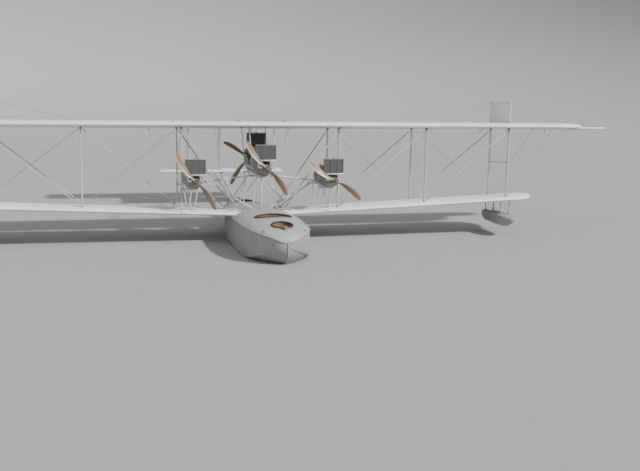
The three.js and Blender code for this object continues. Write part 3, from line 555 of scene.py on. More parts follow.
def leather(paint):
    """Dark leather with a pebbled grain and rubbed high spots."""
    grain = paint.cells(130).step(0.0, 0.5)
    worn = paint.cloud(8, detail=5, start=0.45, end=0.7)
    colour = paint.blend(worn * 0.6, (0.06, 0.043, 0.032), (0.17, 0.12, 0.085))
    colour = paint.blend(grain * 0.3, shades((0.06, 0.05, 0.045), 0.6), colour)
    return paint.done(colour, 0.5 + worn * 0.1 - grain * 0.08, grain * 0.0006 + worn * 0.0005)


def pale_floor(paint):
    pale = tuple(bpy.context.scene.boat_stage.floor)
    patch = paint.cloud(0.08, detail=4)
    return paint.done(paint.blend(patch * 0.35, pale, shades(pale, 0.97)), 0.85 + patch * 0.05)


FINISHES = {
    "wing cloth": lambda p: cloth(p, p.x + 0.5 * bpy.context.scene.boat_shapes.rib_pitch),
    "fin cloth": lambda p: cloth(p, p.z),
    "hull sides": lambda p: planked(p, p.z, 0.13, "hull"),
    "hull bottom": lambda p: planked(p, p.x, 0.16, "hull"),
    "deck": lambda p: planked(p, p.x, 0.11, "deck"),
    "float planks": lambda p: planked(p, p.z, 0.12, "hull"),
    "sheet metal": sheet_metal,
    "strut wood": strut_wood,
    "propeller wood": propeller_wood,
    "plain wood": plain_wood,
    "brass": lambda p: metal(p, (0.52, 0.4, 0.22), 0.28, 0.9, grime=0.4),
    "copper": lambda p: metal(p, (0.46, 0.25, 0.17), 0.3, 0.9, grime=0.6),
    "steel": lambda p: metal(p, (0.42, 0.42, 0.41), 0.35, 0.85, grime=0.5),
    "tinned sheet": lambda p: metal(p, (0.6, 0.6, 0.58), 0.32, 0.6, grime=0.3),
    "tank paint": lambda p: metal(p, (0.25, 0.25, 0.245), 0.5, 0.2, grime=0.5),
    "cast metal": lambda p: metal(p, (0.36, 0.36, 0.36), 0.5, 0.7, cast=1.0, oil=0.5),
    "cylinder steel": lambda p: metal(p, (0.1, 0.1, 0.105), 0.38, 0.7, cast=0.4, oil=0.4),
    "wire": wire,
    "radiator core": radiator_core,
    # on the radiator frames this finish is the frames' own dark colour; on the strut sockets under the upper wing it is
    # painted shade for the wing's shadow
    "dark paint": lambda p: metal(p, (0.12, 0.12, 0.12), 0.5, 0.25, grime=0.4),
    "rubber": rubber,
    "leather": leather,
    "floor": pale_floor,
}
MADE = {}


def finish_of(name):
    """The material of a finish, made once."""
    if name not in MADE:
        paint = Paint(name.replace(" ", "_"))
        MADE[name] = FINISHES[name](paint)
    return MADE[name]


# Wings and other cloth-covered surfaces
def sag_between(x, pitch, first=0.0):
    """How far the cloth sinks between two ribs, from 0 on a rib to 1 half way between."""
    return math.sin(math.pi * (((x - first) / pitch) % 1.0))


def wing_point(wing, x, y0, chord, share, height, thin=1.0):
    """A point of a wing's section at x that starts at y0; share and height are shares of the chord."""
    back = y0 - WING_LE_Y + share * chord
    rise = ((height - MEAN_HEIGHT) * thin + MEAN_HEIGHT) * CHORD * wing["thick"]
    return at(x, WING_LE_Y + back, wing["leading"](x) - back * wing["incidence"] + rise)


def wing_ring(wing, x, set_back=0.0, bring_in=0.0, thin=1.0, stop_y=None, points=13):
    """A wing's section, with the cloth sunk between the ribs; stop_y cuts the section off there."""
    shapes = bpy.context.scene.boat_shapes
    y0, chord = WING_LE_Y + set_back, CHORD - set_back - bring_in
    sink = sag_between(x, shapes.rib_pitch)
    if stop_y is None:
        chord *= 1 - sink * shapes.edge_scallop / CHORD
        last = 1.0
    else:
        last = min(1.0, (stop_y - y0) / chord)
    steps = [math.sqrt(last) * k / points for k in range(points + 1)]
    ring = []
    for table, way in ((SECTION_TOP, 1), (SECTION_UNDER, -1)):
        side = []
        for t in steps:
            sunk = sink * shapes.cloth_sag * ease(t, 0.25, 0.5) * (1 - 0.7 * ease(t, 0.85, 1.0)) / CHORD
            side.append(wing_point(wing, x, y0, chord, t * t, through(table, t) - way * sunk, thin))
        ring.append(side)
    top, under = ring
    return top[::-1] + under[1:]


def wing_height(wing, x, y, level):
    """The height of a wing's surface: level 0 is the underside, 1 the top, and 0.5 is inside."""
    t = math.sqrt((y - WING_LE_Y) / CHORD)
    under, top = through(SECTION_UNDER, t), through(SECTION_TOP, t)
    return wing_point(wing, x, WING_LE_Y, CHORD, t * t, under + (top - under) * level).z


def rib_stations(start, end, pitch, extra=()):
    """Stations on the ribs and three between each pair, so that the cloth can sag."""
    step = pitch / 4
    first, last = math.ceil(start / step - 1e-6), math.floor(end / step + 1e-6)
    found = {round(k * step, 5) for k in range(first, last + 1)} | {start, end, *extra}
    kept = []
    for x in sorted(found):
        if not kept or x - kept[-1] > 0.012 or x in extra or x == end:
            kept.append(x)
    return kept


def tip_share(x, start, end, least):
    """How much of the chord a rounded tip keeps at x."""
    t = min(max((x - start) / (end - start), 0), 1)
    return max(math.sqrt(max(1 - t * t, 0)), least)


def lower_wing(side, name):
    bm = bmesh.new()
    pitch = bpy.context.scene.boat_shapes.rib_pitch
    round_from = LOWER_TIP_X - 1.65
    ends = [round_from + (LOWER_TIP_X - round_from) * math.sin(math.pi * k / 18) for k in range(1, 10)]
    rings = []
    for x in rib_stations(STUB_X + GAP, round_from, pitch) + ends:
        kept = tip_share(x, round_from, LOWER_TIP_X, 0.14)
        rings.append(wing_ring(
            LOWER, x, CHORD * 0.55 * (1 - kept), CHORD * 0.45 * (1 - kept), math.sqrt(kept),
        ))
    skin(bm, rings)
    piece(bm, f"lower_wing_cloth_{name}", "wing cloth", f"lower_wing_{name}", mirror=side < 0)


def upper_wing(side, name):
    bm = bmesh.new()
    pitch = bpy.context.scene.boat_shapes.rib_pitch
    round_from, bay = 14.9, AILERON_IN_X - 0.02
    ends = [round_from + (UPPER_TIP_X - round_from) * math.sin(math.pi * k / 18) for k in range(1, 10)]
    rings = []
    for x in rib_stations(CENTRE_PANEL_X + GAP, round_from, pitch, (bay, bay + 0.002)) + ends:
        kept = tip_share(x, round_from, UPPER_TIP_X, 0.05)
        stop = AILERON_HINGE_Y - 0.095 if x > bay else None
        set_back = (AILERON_HINGE_Y - WING_LE_Y - 0.42) * (1 - kept)
        rings.append(wing_ring(UPPER, x, set_back, 0, 0.55 + 0.45 * kept, stop))
    skin(bm, rings)
    mark(bm, 0)
    for x in AILERON_LUGS:
        hinge_lug(bm, at(x, AILERON_HINGE_Y, AILERON_Z), True, AILERON_HINGE_Y - 0.11, AILERON_THICK)
    mark(bm, 1)
    name = f"upper_wing_cloth_{name}", f"upper_wing_{name}"
    piece(bm, name[0], ["wing cloth", "steel"], name[1], mirror=side < 0)


def centre_wing():
    bm = bmesh.new()
    pitch = bpy.context.scene.boat_shapes.rib_pitch
    skin(bm, [wing_ring(UPPER, x) for x in rib_stations(-CENTRE_PANEL_X, CENTRE_PANEL_X, pitch)])
    mark(bm, 0)
    for y, top in ((FRONT_SPAR_Y, 5.68), (REAR_SPAR_Y, 5.48)):
        for side in (1, -1):
            block(bm, at(side * 1.06, y, top - 0.05), (0.14, 0.18, 0.1), 0.008)
            for across, along in ((-0.045, -0.06), (0.045, -0.06), (-0.045, 0.06), (0.045, 0.06)):
                bolt(bm, at(side * 1.06 + across, y + along, top - 0.008), at(0, 0, 1), 0.011)
    mark(bm, 1)
    piece(bm, "upper_wing_cloth_centre", ["wing cloth", "steel"], "upper_wing_centre")


# Control surfaces
AILERON_LUGS = (12.3, 14.6, 16.7)
LUG_WIDTH, LUG_BEHIND = 0.06, 0.012
NOTCH_WALL = 0.0005
AILERON_Z = wing_point(
    UPPER, 0, WING_LE_Y, CHORD, (AILERON_HINGE_Y - WING_LE_Y) / CHORD, 0.0247668,
).z
AILERON_THICK = 0.1484
AILERON_FALL = 0.1666


def hinge_lug(bm, centre, along_x, from_y, thick):
    """The fixed half of a hinge: a round eye on an arm that reaches into the moving surface's notch."""
    radius = thick * 0.28
    half = at(LUG_WIDTH / 2, 0, 0) if along_x else at(0, 0, LUG_WIDTH / 2)
    rod(bm, centre - half, centre + half, radius, 14)
    reach = centre.y - from_y
    size = (LUG_WIDTH, reach, radius * 1.6) if along_x else (radius * 1.6, reach, LUG_WIDTH)
    block(bm, at(centre.x, centre.y - reach / 2, centre.z), size, 0.004)


def slab_ring(place, nose, tail, thick, sink=0.0, cut=None, edge=0.004, points=9):
    """A thin surface's section: a round nose, a slight swell and a thin tail; cut opens a notch in the nose."""
    half, depth = thick / 2, tail - nose
    start = nose if cut is None else cut

    def rise(y):
        back = y - nose
        if back < half:
            return half * math.sqrt(max(1 - (1 - back / half) ** 2, 0))
        share = (back - half) / (depth - half)
        return edge + (half - edge) * (1 - share ** 1.25) - sink * math.sin(math.pi * min(share * 1.2, 1))

    steps = [start + (tail - start) * (k / points) ** 1.7 for k in range(points + 1)]
    top = [place(y, rise(y)) for y in steps]
    under = [place(y, -rise(y)) for y in steps]
    return top[::-1] + under


def aileron(side, name):
    """The aileron with its balance horn beyond the wing's tip, notched for the hinge lugs."""
    shapes = bpy.context.scene.boat_shapes
    pitch, half = shapes.rib_pitch, AILERON_THICK / 2
    horn = [
        (HORN_IN_X, 0.78, WING_TE_Y, 0.12), (18.35, 0.86, 2.44, 0.1), (18.88, 1.08, 2.35, 0.08),
        (AILERON_OUT_X, 1.44, 2.12, 0.04),
    ]
    wide = LUG_WIDTH / 2 + GAP
    notches = [(x - wide, x + wide) for x in AILERON_LUGS]
    marks = [x + shift for pair in notches for x in pair for shift in (-NOTCH_WALL, NOTCH_WALL)]
    marks += [HORN_IN_X - 0.004, HORN_IN_X]
    rings = []
    for x in rib_stations(AILERON_IN_X, AILERON_OUT_X, pitch, marks):
        sink = sag_between(x, pitch)
        if x < HORN_IN_X:
            nose, tail, thick = AILERON_HINGE_Y - half, WING_TE_Y, AILERON_THICK
        else:
            nose, tail, thick = (through(horn, x, c) for c in (1, 2, 3))
        behind = AILERON_HINGE_Y + AILERON_THICK * 0.28 + LUG_BEHIND
        cut = behind if any(a < x < b for a, b in notches) else None

        def place(y, h, x=x):
            return at(x, y, AILERON_Z + h - max(y - AILERON_HINGE_Y, 0) * AILERON_FALL)

        rings.append(slab_ring(
            place, nose, tail - sink * shapes.edge_scallop, thick, sink * shapes.cloth_sag, cut,
        ))
    bm = bmesh.new()
    skin(bm, rings)
    mark(bm, 0)
    for x in (AILERON_LUGS[0] - 0.35, 15.65):
        aileron_horn(bm, x)
    for x, up, down in KING_POSTS:
        foot = at(x, AILERON_HINGE_Y + 0.02, AILERON_Z)
        for height in (up, -down):
            top = foot + at(0, 0, height)
            faired(bm, foot, top, 0.055, 0.024, 0.6, 8, 3)
            near, far = (at(x + reach, AILERON_HINGE_Y + 0.02, AILERON_Z) for reach in (-1.3, 1.1))
            for end in (near, far):
                rod(bm, top - at(0, 0, math.copysign(0.02, height)), end + at(0, 0, math.copysign(0.05, height)), 0.004, 5)
    mark(bm, 1)
    piece(
        bm, f"aileron_cloth_{name}", ["wing cloth", "steel"], f"aileron_{name}",
        f"aileron_{name}", mirror=side < 0,
    )


# The posts that brace the aileron's overhanging end. Columns: x, height above and below the hinge
KING_POSTS = ((16.86, 0.38, 0.17), (17.87, 0.24, 0.13))


def aileron_horn(bm, x):
    """The lever that the aileron's cables pull: a flat post above and below with two stays."""
    for way in (1, -1):
        top = at(x, AILERON_HINGE_Y + 0.02, AILERON_Z + way * 0.3)
        faired(bm, at(x, AILERON_HINGE_Y + 0.02, AILERON_Z), top, 0.06, 0.026, 0.6, 8, 3)
        for back in (0.55,):
            foot = at(x, AILERON_HINGE_Y + back, AILERON_Z - back * AILERON_FALL + way * 0.04)
            rod(bm, top - at(0, 0, way * 0.02), foot, 0.004, 5)


# The lug shares of each tail surface's half span
ELEVATOR_LUGS = (-0.78, -0.36, 0.36, 0.78)


def tailplane(which, z, half_span):
    bm = bmesh.new()
    pitch = 0.32
    outline = [(0, 0), (0.9, 0), (0.955, 0.09), (0.985, 0.24), (1.0, 0.45)]
    rear = TAIL_HINGE_Y - 0.08
    stops = [half_span * s for s in (-1, -0.985, -0.955, 0.955, 0.985, 1)]
    rings = []
    for x in rib_stations(-half_span, half_span, pitch, stops):
        share = abs(x) / half_span
        front = TAIL_LE_Y + through(outline, share)
        thin = TAIL_THICK / 2 * (1 - 0.6 * ease(share, 0.955, 1))
        sink = sag_between(x, pitch) * 0.004
        steps = [k / 9 for k in range(10)]
        rises = [thin * min(1, math.sqrt(max(1 - (1 - min(s * s * 5, 1)) ** 2, 0))) - sink * ease(s, 0.3, 0.6) for s in steps]
        top = [at(x, front + (rear - front) * s * s, z + h) for s, h in zip(steps, rises)]
        under = [at(x, front + (rear - front) * s * s, z - h) for s, h in zip(steps, rises)]
        rings.append(top[::-1] + under)
    skin(bm, rings)
    mark(bm, 0)
    for share in ELEVATOR_LUGS:
        hinge_lug(bm, at(share * half_span, TAIL_HINGE_Y, z), True, TAIL_HINGE_Y - 0.11, ELEVATOR_THICK)
    mark(bm, 1)
    piece(bm, f"tailplane_cloth_{which}", ["wing cloth", "steel"], f"tailplane_{which}")


def elevator(which, z, half_span):
    bm = bmesh.new()
    pitch, wide = 0.32, LUG_WIDTH / 2 + GAP
    outline = [(0, 0), (0.88, 0), (0.95, 0.06), (1, 0.33)]
    notches = [(share * half_span - wide, share * half_span + wide) for share in ELEVATOR_LUGS]
    marks = [x + shift for pair in notches for x in pair for shift in (-NOTCH_WALL, NOTCH_WALL)]
    behind = TAIL_HINGE_Y + ELEVATOR_THICK * 0.28 + LUG_BEHIND
    rings = []
    for x in rib_stations(-half_span, half_span, pitch, marks):
        sink = sag_between(x, pitch)
        tail = TAIL_TE_Y - through(outline, abs(x) / half_span) - sink * 0.012
        cut = behind if any(a < x < b for a, b in notches) else None
        rings.append(slab_ring(
            lambda y, h, x=x: at(x, y, z + h), TAIL_HINGE_Y - ELEVATOR_THICK / 2, tail, ELEVATOR_THICK,
            sink * 0.004, cut,
        ))
    skin(bm, rings)
    mark(bm, 0)
    for side in (1, -1):
        x = side * half_span * (0.52 if which == "upper" else 0.26)
        for way in (1, -1):
            top = at(x, TAIL_HINGE_Y + 0.03, z + way * 0.3)
            faired(bm, at(x, TAIL_HINGE_Y + 0.03, z), top, 0.06, 0.024, 0.6, 8, 3)
            rod(bm, top - at(0, 0, way * 0.02), at(x, TAIL_HINGE_Y + 0.5, z + way * 0.03), 0.004, 5)
    mark(bm, 1)
    piece(
        bm, f"elevator_cloth_{which}", ["wing cloth", "steel"], f"elevator_{which}",
        f"elevator_{which}",
    )


def fin_and_rudder(name, x):
    low, high = TAILS[1][1], TAILS[0][1]
    inside = TAIL_THICK / 2 + 0.001
    pitch = 0.3
    hinge_zs = (low + 0.5, high - 0.5)
    bm = bmesh.new()
    rings = []
    for z in rib_stations(low + inside, high - inside, pitch):
        front = 12.0 + 0.06 * (z - low) / (high - low)
        sink = sag_between(z, pitch) * 0.003
        steps = [k / 7 for k in range(8)]
        rises = [0.034 * math.sqrt(max(1 - (1 - min(s * 2.2, 1)) ** 2, 0)) - sink * ease(s, 0.2, 0.5) for s in steps]
        rear = RUDDER_HINGE_Y - 0.062
        top = [at(x + h, front + (rear - front) * s, z) for s, h in zip(steps, rises)]
        under = [at(x - h, front + (rear - front) * s, z) for s, h in zip(steps, rises)]
        rings.append(top[::-1] + under)
    skin(bm, rings)
    mark(bm, 0)
    for z in hinge_zs:
        hinge_lug(bm, at(x, RUDDER_HINGE_Y, z), False, RUDDER_HINGE_Y - 0.09, RUDDER_THICK)
    mark(bm, 1)
    piece(bm, f"fin_cloth_{name}", ["fin cloth", "steel"], f"fin_{name}")

    bm = bmesh.new()
    outline = [
        (low + 0.11, 13.1), (low + 0.4, 13.56), (low + 0.8, RUDDER_TE_Y), (high - 0.76, RUDDER_TE_Y),
        (high - 0.35, 13.56), (high - 0.11, 13.1),
    ]
    wide = LUG_WIDTH / 2 + GAP
    notches = [(z - wide, z + wide) for z in hinge_zs]
    marks = [z + shift for pair in notches for z in pair for shift in (-NOTCH_WALL, NOTCH_WALL)]
    behind = RUDDER_HINGE_Y + RUDDER_THICK * 0.28 + LUG_BEHIND
    rings = []
    for z in rib_stations(low + 0.11, high - 0.11, pitch, marks):
        cut = behind if any(a < z < b for a, b in notches) else None
        sink = sag_between(z, pitch)
        rings.append(slab_ring(
            lambda y, h, z=z: at(x + h, y, z), RUDDER_HINGE_Y - RUDDER_THICK / 2,
            through(outline, z) - sink * 0.01, RUDDER_THICK, sink * 0.003, cut,
        ))
    skin(bm, rings)
    mark(bm, 0)
    for way in (1, -1):
        top = at(x + way * 0.24, RUDDER_HINGE_Y + 0.03, 3.55)
        rod(bm, at(x, RUDDER_HINGE_Y + 0.03, 3.55), top, 0.016, 8, 0.01)
        rod(bm, top - at(way * 0.015, 0, 0), at(x + way * 0.02, RUDDER_HINGE_Y + 0.4, 3.55), 0.004, 5)
    mark(bm, 1)
    piece(
        bm, f"rudder_cloth_{name}", ["fin cloth", "steel"], f"rudder_{name}", f"rudder_{name}",
    )


# Hull
def hull_lines(y, rows):
    """The hull's measures at y, from its table."""
    return [through(rows, y, column) for column in range(1, 7)]


def deck_height(x, y):
    rows = HULL_FORE if y < STEP_Y else HULL_AFT
    keel, chine_x, chine_z, edge_x, edge_z, crown = hull_lines(y, rows)
    return edge_z + (crown - edge_z) * through(DECK_CROWN, min(abs(x) / edge_x, 1))


def hull_ring(y, rows):
    """Half a section from the keel over the chine and the deck edge to the crown, then back down."""
    keel, chine_x, chine_z, edge_x, edge_z, crown = hull_lines(y, rows)
    flat = min(0.06, chine_x * 0.6)
    half = [(0, keel), (flat, keel)]
    for k in range(1, 6):
        s = k / 5
        half.append((flat + (chine_x - flat) * s, keel + (chine_z - keel) * (s - 0.12 * math.sin(math.pi * s))))
    for k in range(1, 5):
        s = k / 4
        swell = 0.035 * math.sin(math.pi * s) * min(1, edge_x)
        half.append((chine_x + (edge_x - chine_x) * s + swell, chine_z + (edge_z - chine_z) * s))
    for k in range(1, 9):
        s = 1 - k / 8
        half.append((edge_x * s, edge_z + (crown - edge_z) * through(DECK_CROWN, s)))
    return [at(x, y, z) for x, z in half] + [at(-x, y, z) for x, z in half[-2:0:-1]]


def oval(y, half_length, half_width, count=40, grow=0.0, height=None):
    """Points round a cockpit's edge, on the deck or at a height."""
    points = []
    for k in range(count):
        turn = 2 * math.pi * k / count
        px = (half_width + grow) * math.cos(turn)
        py = y + (half_length + grow) * math.sin(turn)
        points.append(at(px, py, deck_height(px, py) if height is None else height))
    return points


BOW_YS = [-6.7, -6.695, -6.685, -6.67, -6.65, -6.62, -6.58, -6.53, -6.45, -6.35, -6.2, -6.1]


def hull():
    bm = bmesh.new()
    fore = BOW_YS + [-6.0 + 0.25 * k for k in range(26)] + [STEP_Y - 0.002]
    aft = [STEP_Y] + [0.8 + 0.3 * k for k in range(20)] + [6.7, 6.94]
    rings = [hull_ring(y, HULL_FORE) for y in fore] + [hull_ring(y, HULL_AFT) for y in aft]
    skin(bm, rings)
    bmesh.ops.recalc_face_normals(bm, faces=bm.faces)
    for face in bm.faces:
        middle = face.calc_center_median()
        _, _, chine_z, _, edge_z, _ = hull_lines(middle.y, HULL_FORE if middle.y < STEP_Y else HULL_AFT)
        face.material_index = 2 if middle.z > edge_z - 0.004 else 3 if middle.z < chine_z else 1
    made = piece(
        bm, "hull_planking", ["hull sides", "deck", "hull bottom", "plain wood"], "hull", sharp=30,
    )
    wells = bmesh.new()
    for name, y, half_length, half_width, floor in COCKPITS:
        top = oval(y, half_length, half_width, height=2.4)
        skin(wells, [[at(p.x, p.y, floor) for p in top], top])
    bmesh.ops.recalc_face_normals(wells, faces=wells.faces)
    mesh = bpy.data.meshes.new("cockpit_wells")
    for face in wells.faces:
        face.material_index = 3
    wells.to_mesh(mesh)
    wells.free()
    cutter = bpy.data.objects.new("cockpit_wells", mesh)
    bpy.context.scene.collection.objects.link(cutter)
    cut = made.modifiers.new("wells", "BOOLEAN")
    cut.operation, cut.solver, cut.object, cut.material_mode = "DIFFERENCE", "EXACT", cutter, "INDEX"
    bpy.context.view_layer.update()
    depsgraph = bpy.context.evaluated_depsgraph_get()
    opened = bpy.data.meshes.new_from_object(made.evaluated_get(depsgraph))
    made.modifiers.clear()
    made.data = opened
    bpy.data.objects.remove(cutter)


def hull_trim():
    """Keel, chine rails, deck rails, wing stubs, and the mooring bitt with its fittings."""
    bm = bmesh.new()
    fore = BOW_YS[1:] + [-6 + 0.3 * k for k in range(22)]
    aft = [0.6 + 0.35 * k for k in range(18)]
    for side in (1, -1):
        for rows, ys in ((HULL_FORE, fore), (HULL_AFT, aft)):
            chine, sheer = [], []
            for y in ys:
                _, chine_x, chine_z, edge_x, edge_z, _ = hull_lines(y, rows)
                chine.append(at(side * (chine_x + 0.004), y, chine_z))
                sheer.append(at(side * (edge_x + 0.004), y, edge_z + 0.002))
            pipe(bm, chine, 0.026, 6)
            pipe(bm, sheer, 0.032, 8)
    keel = [at(0, y, hull_lines(y, HULL_FORE)[0] - 0.006) for y in fore]
    pipe(bm, [at(0, -6.69, 1.02), at(0, -6.7, 0.9)] + keel, 0.045, 8)
    mark(bm, 0)
    piece(bm, "hull_rails", "hull sides", sharp=50)

    bm = bmesh.new()
    pitch = bpy.context.scene.boat_shapes.rib_pitch
    skin(bm, [wing_ring(LOWER, x) for x in rib_stations(-STUB_X, STUB_X, pitch)])
    piece(bm, "wing_stubs", "wing cloth")

    bm = bmesh.new()
    block(bm, at(0, -6.05, 1.46), (0.1, 0.1, 0.28), 0.022)
    mark(bm, 0)
    rod(bm, at(-0.13, -6.05, 1.54), at(0.13, -6.05, 1.54), 0.013, 12)
    block(bm, at(0, -6.05, deck_height(0, -6.05) + 0.012), (0.18, 0.18, 0.012), 0.004)
    block(bm, at(0, -6.05, 1.47), (0.106, 0.106, 0.022), 0.004)
    for side in (1, -1):
        for y in (-5.9, -4.6, -2.2, 4.9):
            x = hull_lines(y, HULL_FORE if y < STEP_Y else HULL_AFT)[3] - 0.13
            z = deck_height(x, y)
            for k in (-0.05, 0.05):
                rod(bm, at(side * x, y + k, z - 0.01), at(side * x, y + k, z + 0.05), 0.012, 8)
            pipe(bm, [at(side * x, y + d, z + 0.05 + abs(d) * 0.12) for d in (-0.14, -0.08, 0, 0.08, 0.14)],
                 [0.008, 0.013, 0.015, 0.013, 0.008], 8)
    mark(bm, 1)
    piece(bm, "deck_fittings", ["plain wood", "steel"])


def cockpits():
    """Padded coamings, seats, the two control wheels and the instrument board."""
    for name, y, half_length, half_width, floor in COCKPITS:
        bm = bmesh.new()
        rim = oval(y, half_length, half_width, 48, 0.012)
        centre = [p + at(0, 0, 0.022) for p in rim]
        rings = []
        for i, p in enumerate(centre):
            ahead = (centre[(i + 1) % len(centre)] - centre[i - 1]).normalized()
            out = ahead.cross(at(0, 0, 1)).normalized()
            up = out.cross(ahead)
            size = 0.042 * (1 + 0.05 * math.cos(i * math.pi / 2))
            rings.append([
                p + out * size * math.cos(2 * math.pi * k / 12) + up * size * 0.8 * math.sin(2 * math.pi * k / 12)
                for k in range(12)
            ])
        skin(bm, rings + rings[:1])
        bad = [f for f in bm.faces if len(f.verts) > 4]
        bmesh.ops.delete(bm, geom=bad, context="FACES_ONLY")
        coaming = piece(bm, f"coaming_{name}", "leather", sharp=80)
    bm = bmesh.new()
    seats = [(0.38, -3.33, 0.36), (-0.38, -3.33, 0.36), (0, -5.3, 0.3), (0, 4.08, 0.3)]
    for x, y, wide in seats:
        floor = 0.62 if y > -4 and y < 0 else 0.56 if y < 0 else 0.52
        block(bm, at(x, y - 0.02, floor + 0.3), (wide, 0.34, 0.03), 0.008)
        block(bm, at(x, y + 0.16, floor + 0.52), (wide, 0.025, 0.42), 0.01)
        for px in (-0.4, 0.4):
            for py in (-0.14, 0.12):
                rod(bm, at(x + px * wide, y + py, floor), at(x + px * wide, y + py, floor + 0.29), 0.014, 8)
    block(bm, at(0, -3.9, 1.36), (1.2, 0.03, 0.26), 0.01)
    mark(bm, 0)
    for x in (-0.38, 0.38):
        hub = at(x, -3.68, 1.28)
        rod(bm, at(x, -3.74, 0.62), hub + at(0, -0.03, 0), 0.02, 10)
        ring = [hub + at(0.15 * math.cos(t), 0, 0.15 * math.sin(t)) for t in [2 * math.pi * k / 24 for k in range(24)]]
        pipe(bm, ring + ring[:1], 0.013, 8)
        for k in range(4):
            t = math.pi / 4 + math.pi / 2 * k
            rod(bm, hub, hub + at(0.15 * math.cos(t), 0, 0.15 * math.sin(t)), 0.008, 6)
    for k in range(7):
        dial = at(-0.48 + 0.16 * k, -3.884, 1.38)
        rod(bm, dial, dial + at(0, 0.02, 0), 0.052, 20)
        rod(bm, dial + at(0, 0.019, 0), dial + at(0, 0.024, 0), 0.043, 20)
    mark(bm, 1)
    piece(bm, "cockpit_fittings", ["plain wood", "brass"])


# Tip floats. Columns: y, half-breadth, bottom z, chine z, top z
FLOAT_LINES = [
    (-1.65, 0.09, 0.85, 0.89, 0.99), (-1.3, 0.29, 0.62, 0.75, 1.05), (-0.5, 0.39, 0.48, 0.62, 1.09),
    (0.6, 0.39, 0.47, 0.61, 1.08), (1.3, 0.28, 0.62, 0.72, 1.03), (1.85, 0.06, 0.85, 0.88, 0.97),
]


def tip_float(side, name):
    bm = bmesh.new()
    rings = []
    for k in range(36):
        y = -1.65 + 3.5 * k / 35
        half, bottom, chine, top = (through(FLOAT_LINES, y, c) for c in range(1, 5))
        edge = [(0, bottom), (half * 0.5, bottom + (chine - bottom) * 0.42), (half, chine)]
        edge += [(half * (1 + 0.03 * math.sin(math.pi * s)), chine + (top - 0.05 - chine) * s) for s in (0.33, 0.66, 1)]
        edge += [(half * math.cos(t), top - 0.05 + 0.05 * math.sin(t)) for t in (0.4, 0.8, 1.2)] + [(0, top)]
        rings.append([at(OUTER_X + x, y, z) for x, z in edge] + [at(OUTER_X - x, y, z) for x, z in edge[-2:0:-1]])
    skin(bm, rings)
    pipe(bm, [at(OUTER_X, y, through(FLOAT_LINES, y, 2) - 0.004) for y in [-1.6 + 0.3 * k for k in range(12)]], 0.02, 6)
    mark(bm, 0)
    legs = [(y, s) for y in (FRONT_SPAR_Y, REAR_SPAR_Y - 0.3) for s in (-1, 1)]
    ends = [
        (at(OUTER_X + s * 0.21, y, 1.06), at(OUTER_X + s * 0.25, y, wing_height(LOWER, OUTER_X, y, 0.12)))
        for y, s in legs
    ]
    for foot, head in ends:
        faired(bm, foot - at(0, 0, 0.05), head + at(0, 0, 0.04), 0.11, 0.045, 0.8, 12, 4)
    mark(bm, 1)
    for foot, head in ends:
        block(bm, foot + at(0, 0, 0.02), (0.09, 0.15, 0.05), 0.01)
        block(bm, head - at(0, 0, 0.02), (0.09, 0.15, 0.05), 0.01)
    for i, j in ((0, 1), (2, 3), (0, 2), (1, 3)):
        rod(bm, ends[i][0], ends[j][1], 0.005, 5)
        rod(bm, ends[j][0], ends[i][1], 0.005, 5)
    mark(bm, 2)
    piece(
        bm, f"tip_float_{name}", ["float planks", "strut wood", "steel"], f"float_{name}",
        mirror=side < 0,
    )


# Nacelles. Columns: y, half width, depth under or height over the shaft
SIDE_TUB = [
    (-1.96, 0.2, 0.15), (-1.65, 0.33, 0.3), (-0.9, 0.385, 0.41), (0.2, 0.385, 0.4), (1.1, 0.23, 0.28),
    (1.78, 0.04, 0.09),
]
CENTRE_TUB = [
    (-1.96, 0.2, 0.15), (-1.65, 0.33, 0.3), (-0.9, 0.385, 0.41), (1.5, 0.385, 0.41), (2.27, 0.33, 0.3),
    (2.58, 0.2, 0.15),
]
SIDE_HOOD = [(-0.14, 0.33, 0.33), (0.3, 0.33, 0.33), (1.1, 0.19, 0.2), (1.77, 0.036, 0.02)]
CENTRE_HOOD = [(-0.14, 0.34, 0.3), (0.76, 0.34, 0.3)]
TUB_RIM = -0.0154
# The cowls along both flanks of a crankcase. Columns: y, half width, height over the shaft
SIDE_COWL = [(-1.7, 0.309, 0.17), (-1.3, 0.357, 0.215), (-0.9, 0.385, 0.245), (-0.12, 0.385, 0.29)]
PUSHER_COWL = [(0.74, 0.385, 0.27), (1.5, 0.385, 0.24), (1.92, 0.357, 0.215), (2.31, 0.321, 0.17)]
COWL_INNER_X = 0.262


def arch(y, half, height, base, power=0.76, count=16):
    """Half a rounded box over or under its base line."""
    ring = []
    for k in range(count + 1):
        turn = math.pi * k / count
        c, s = math.cos(turn), math.sin(turn)
        x = half * math.copysign(abs(c) ** power, c)
        ring.append(at(x, y, base + (height - base) * abs(s) ** power))
    return ring


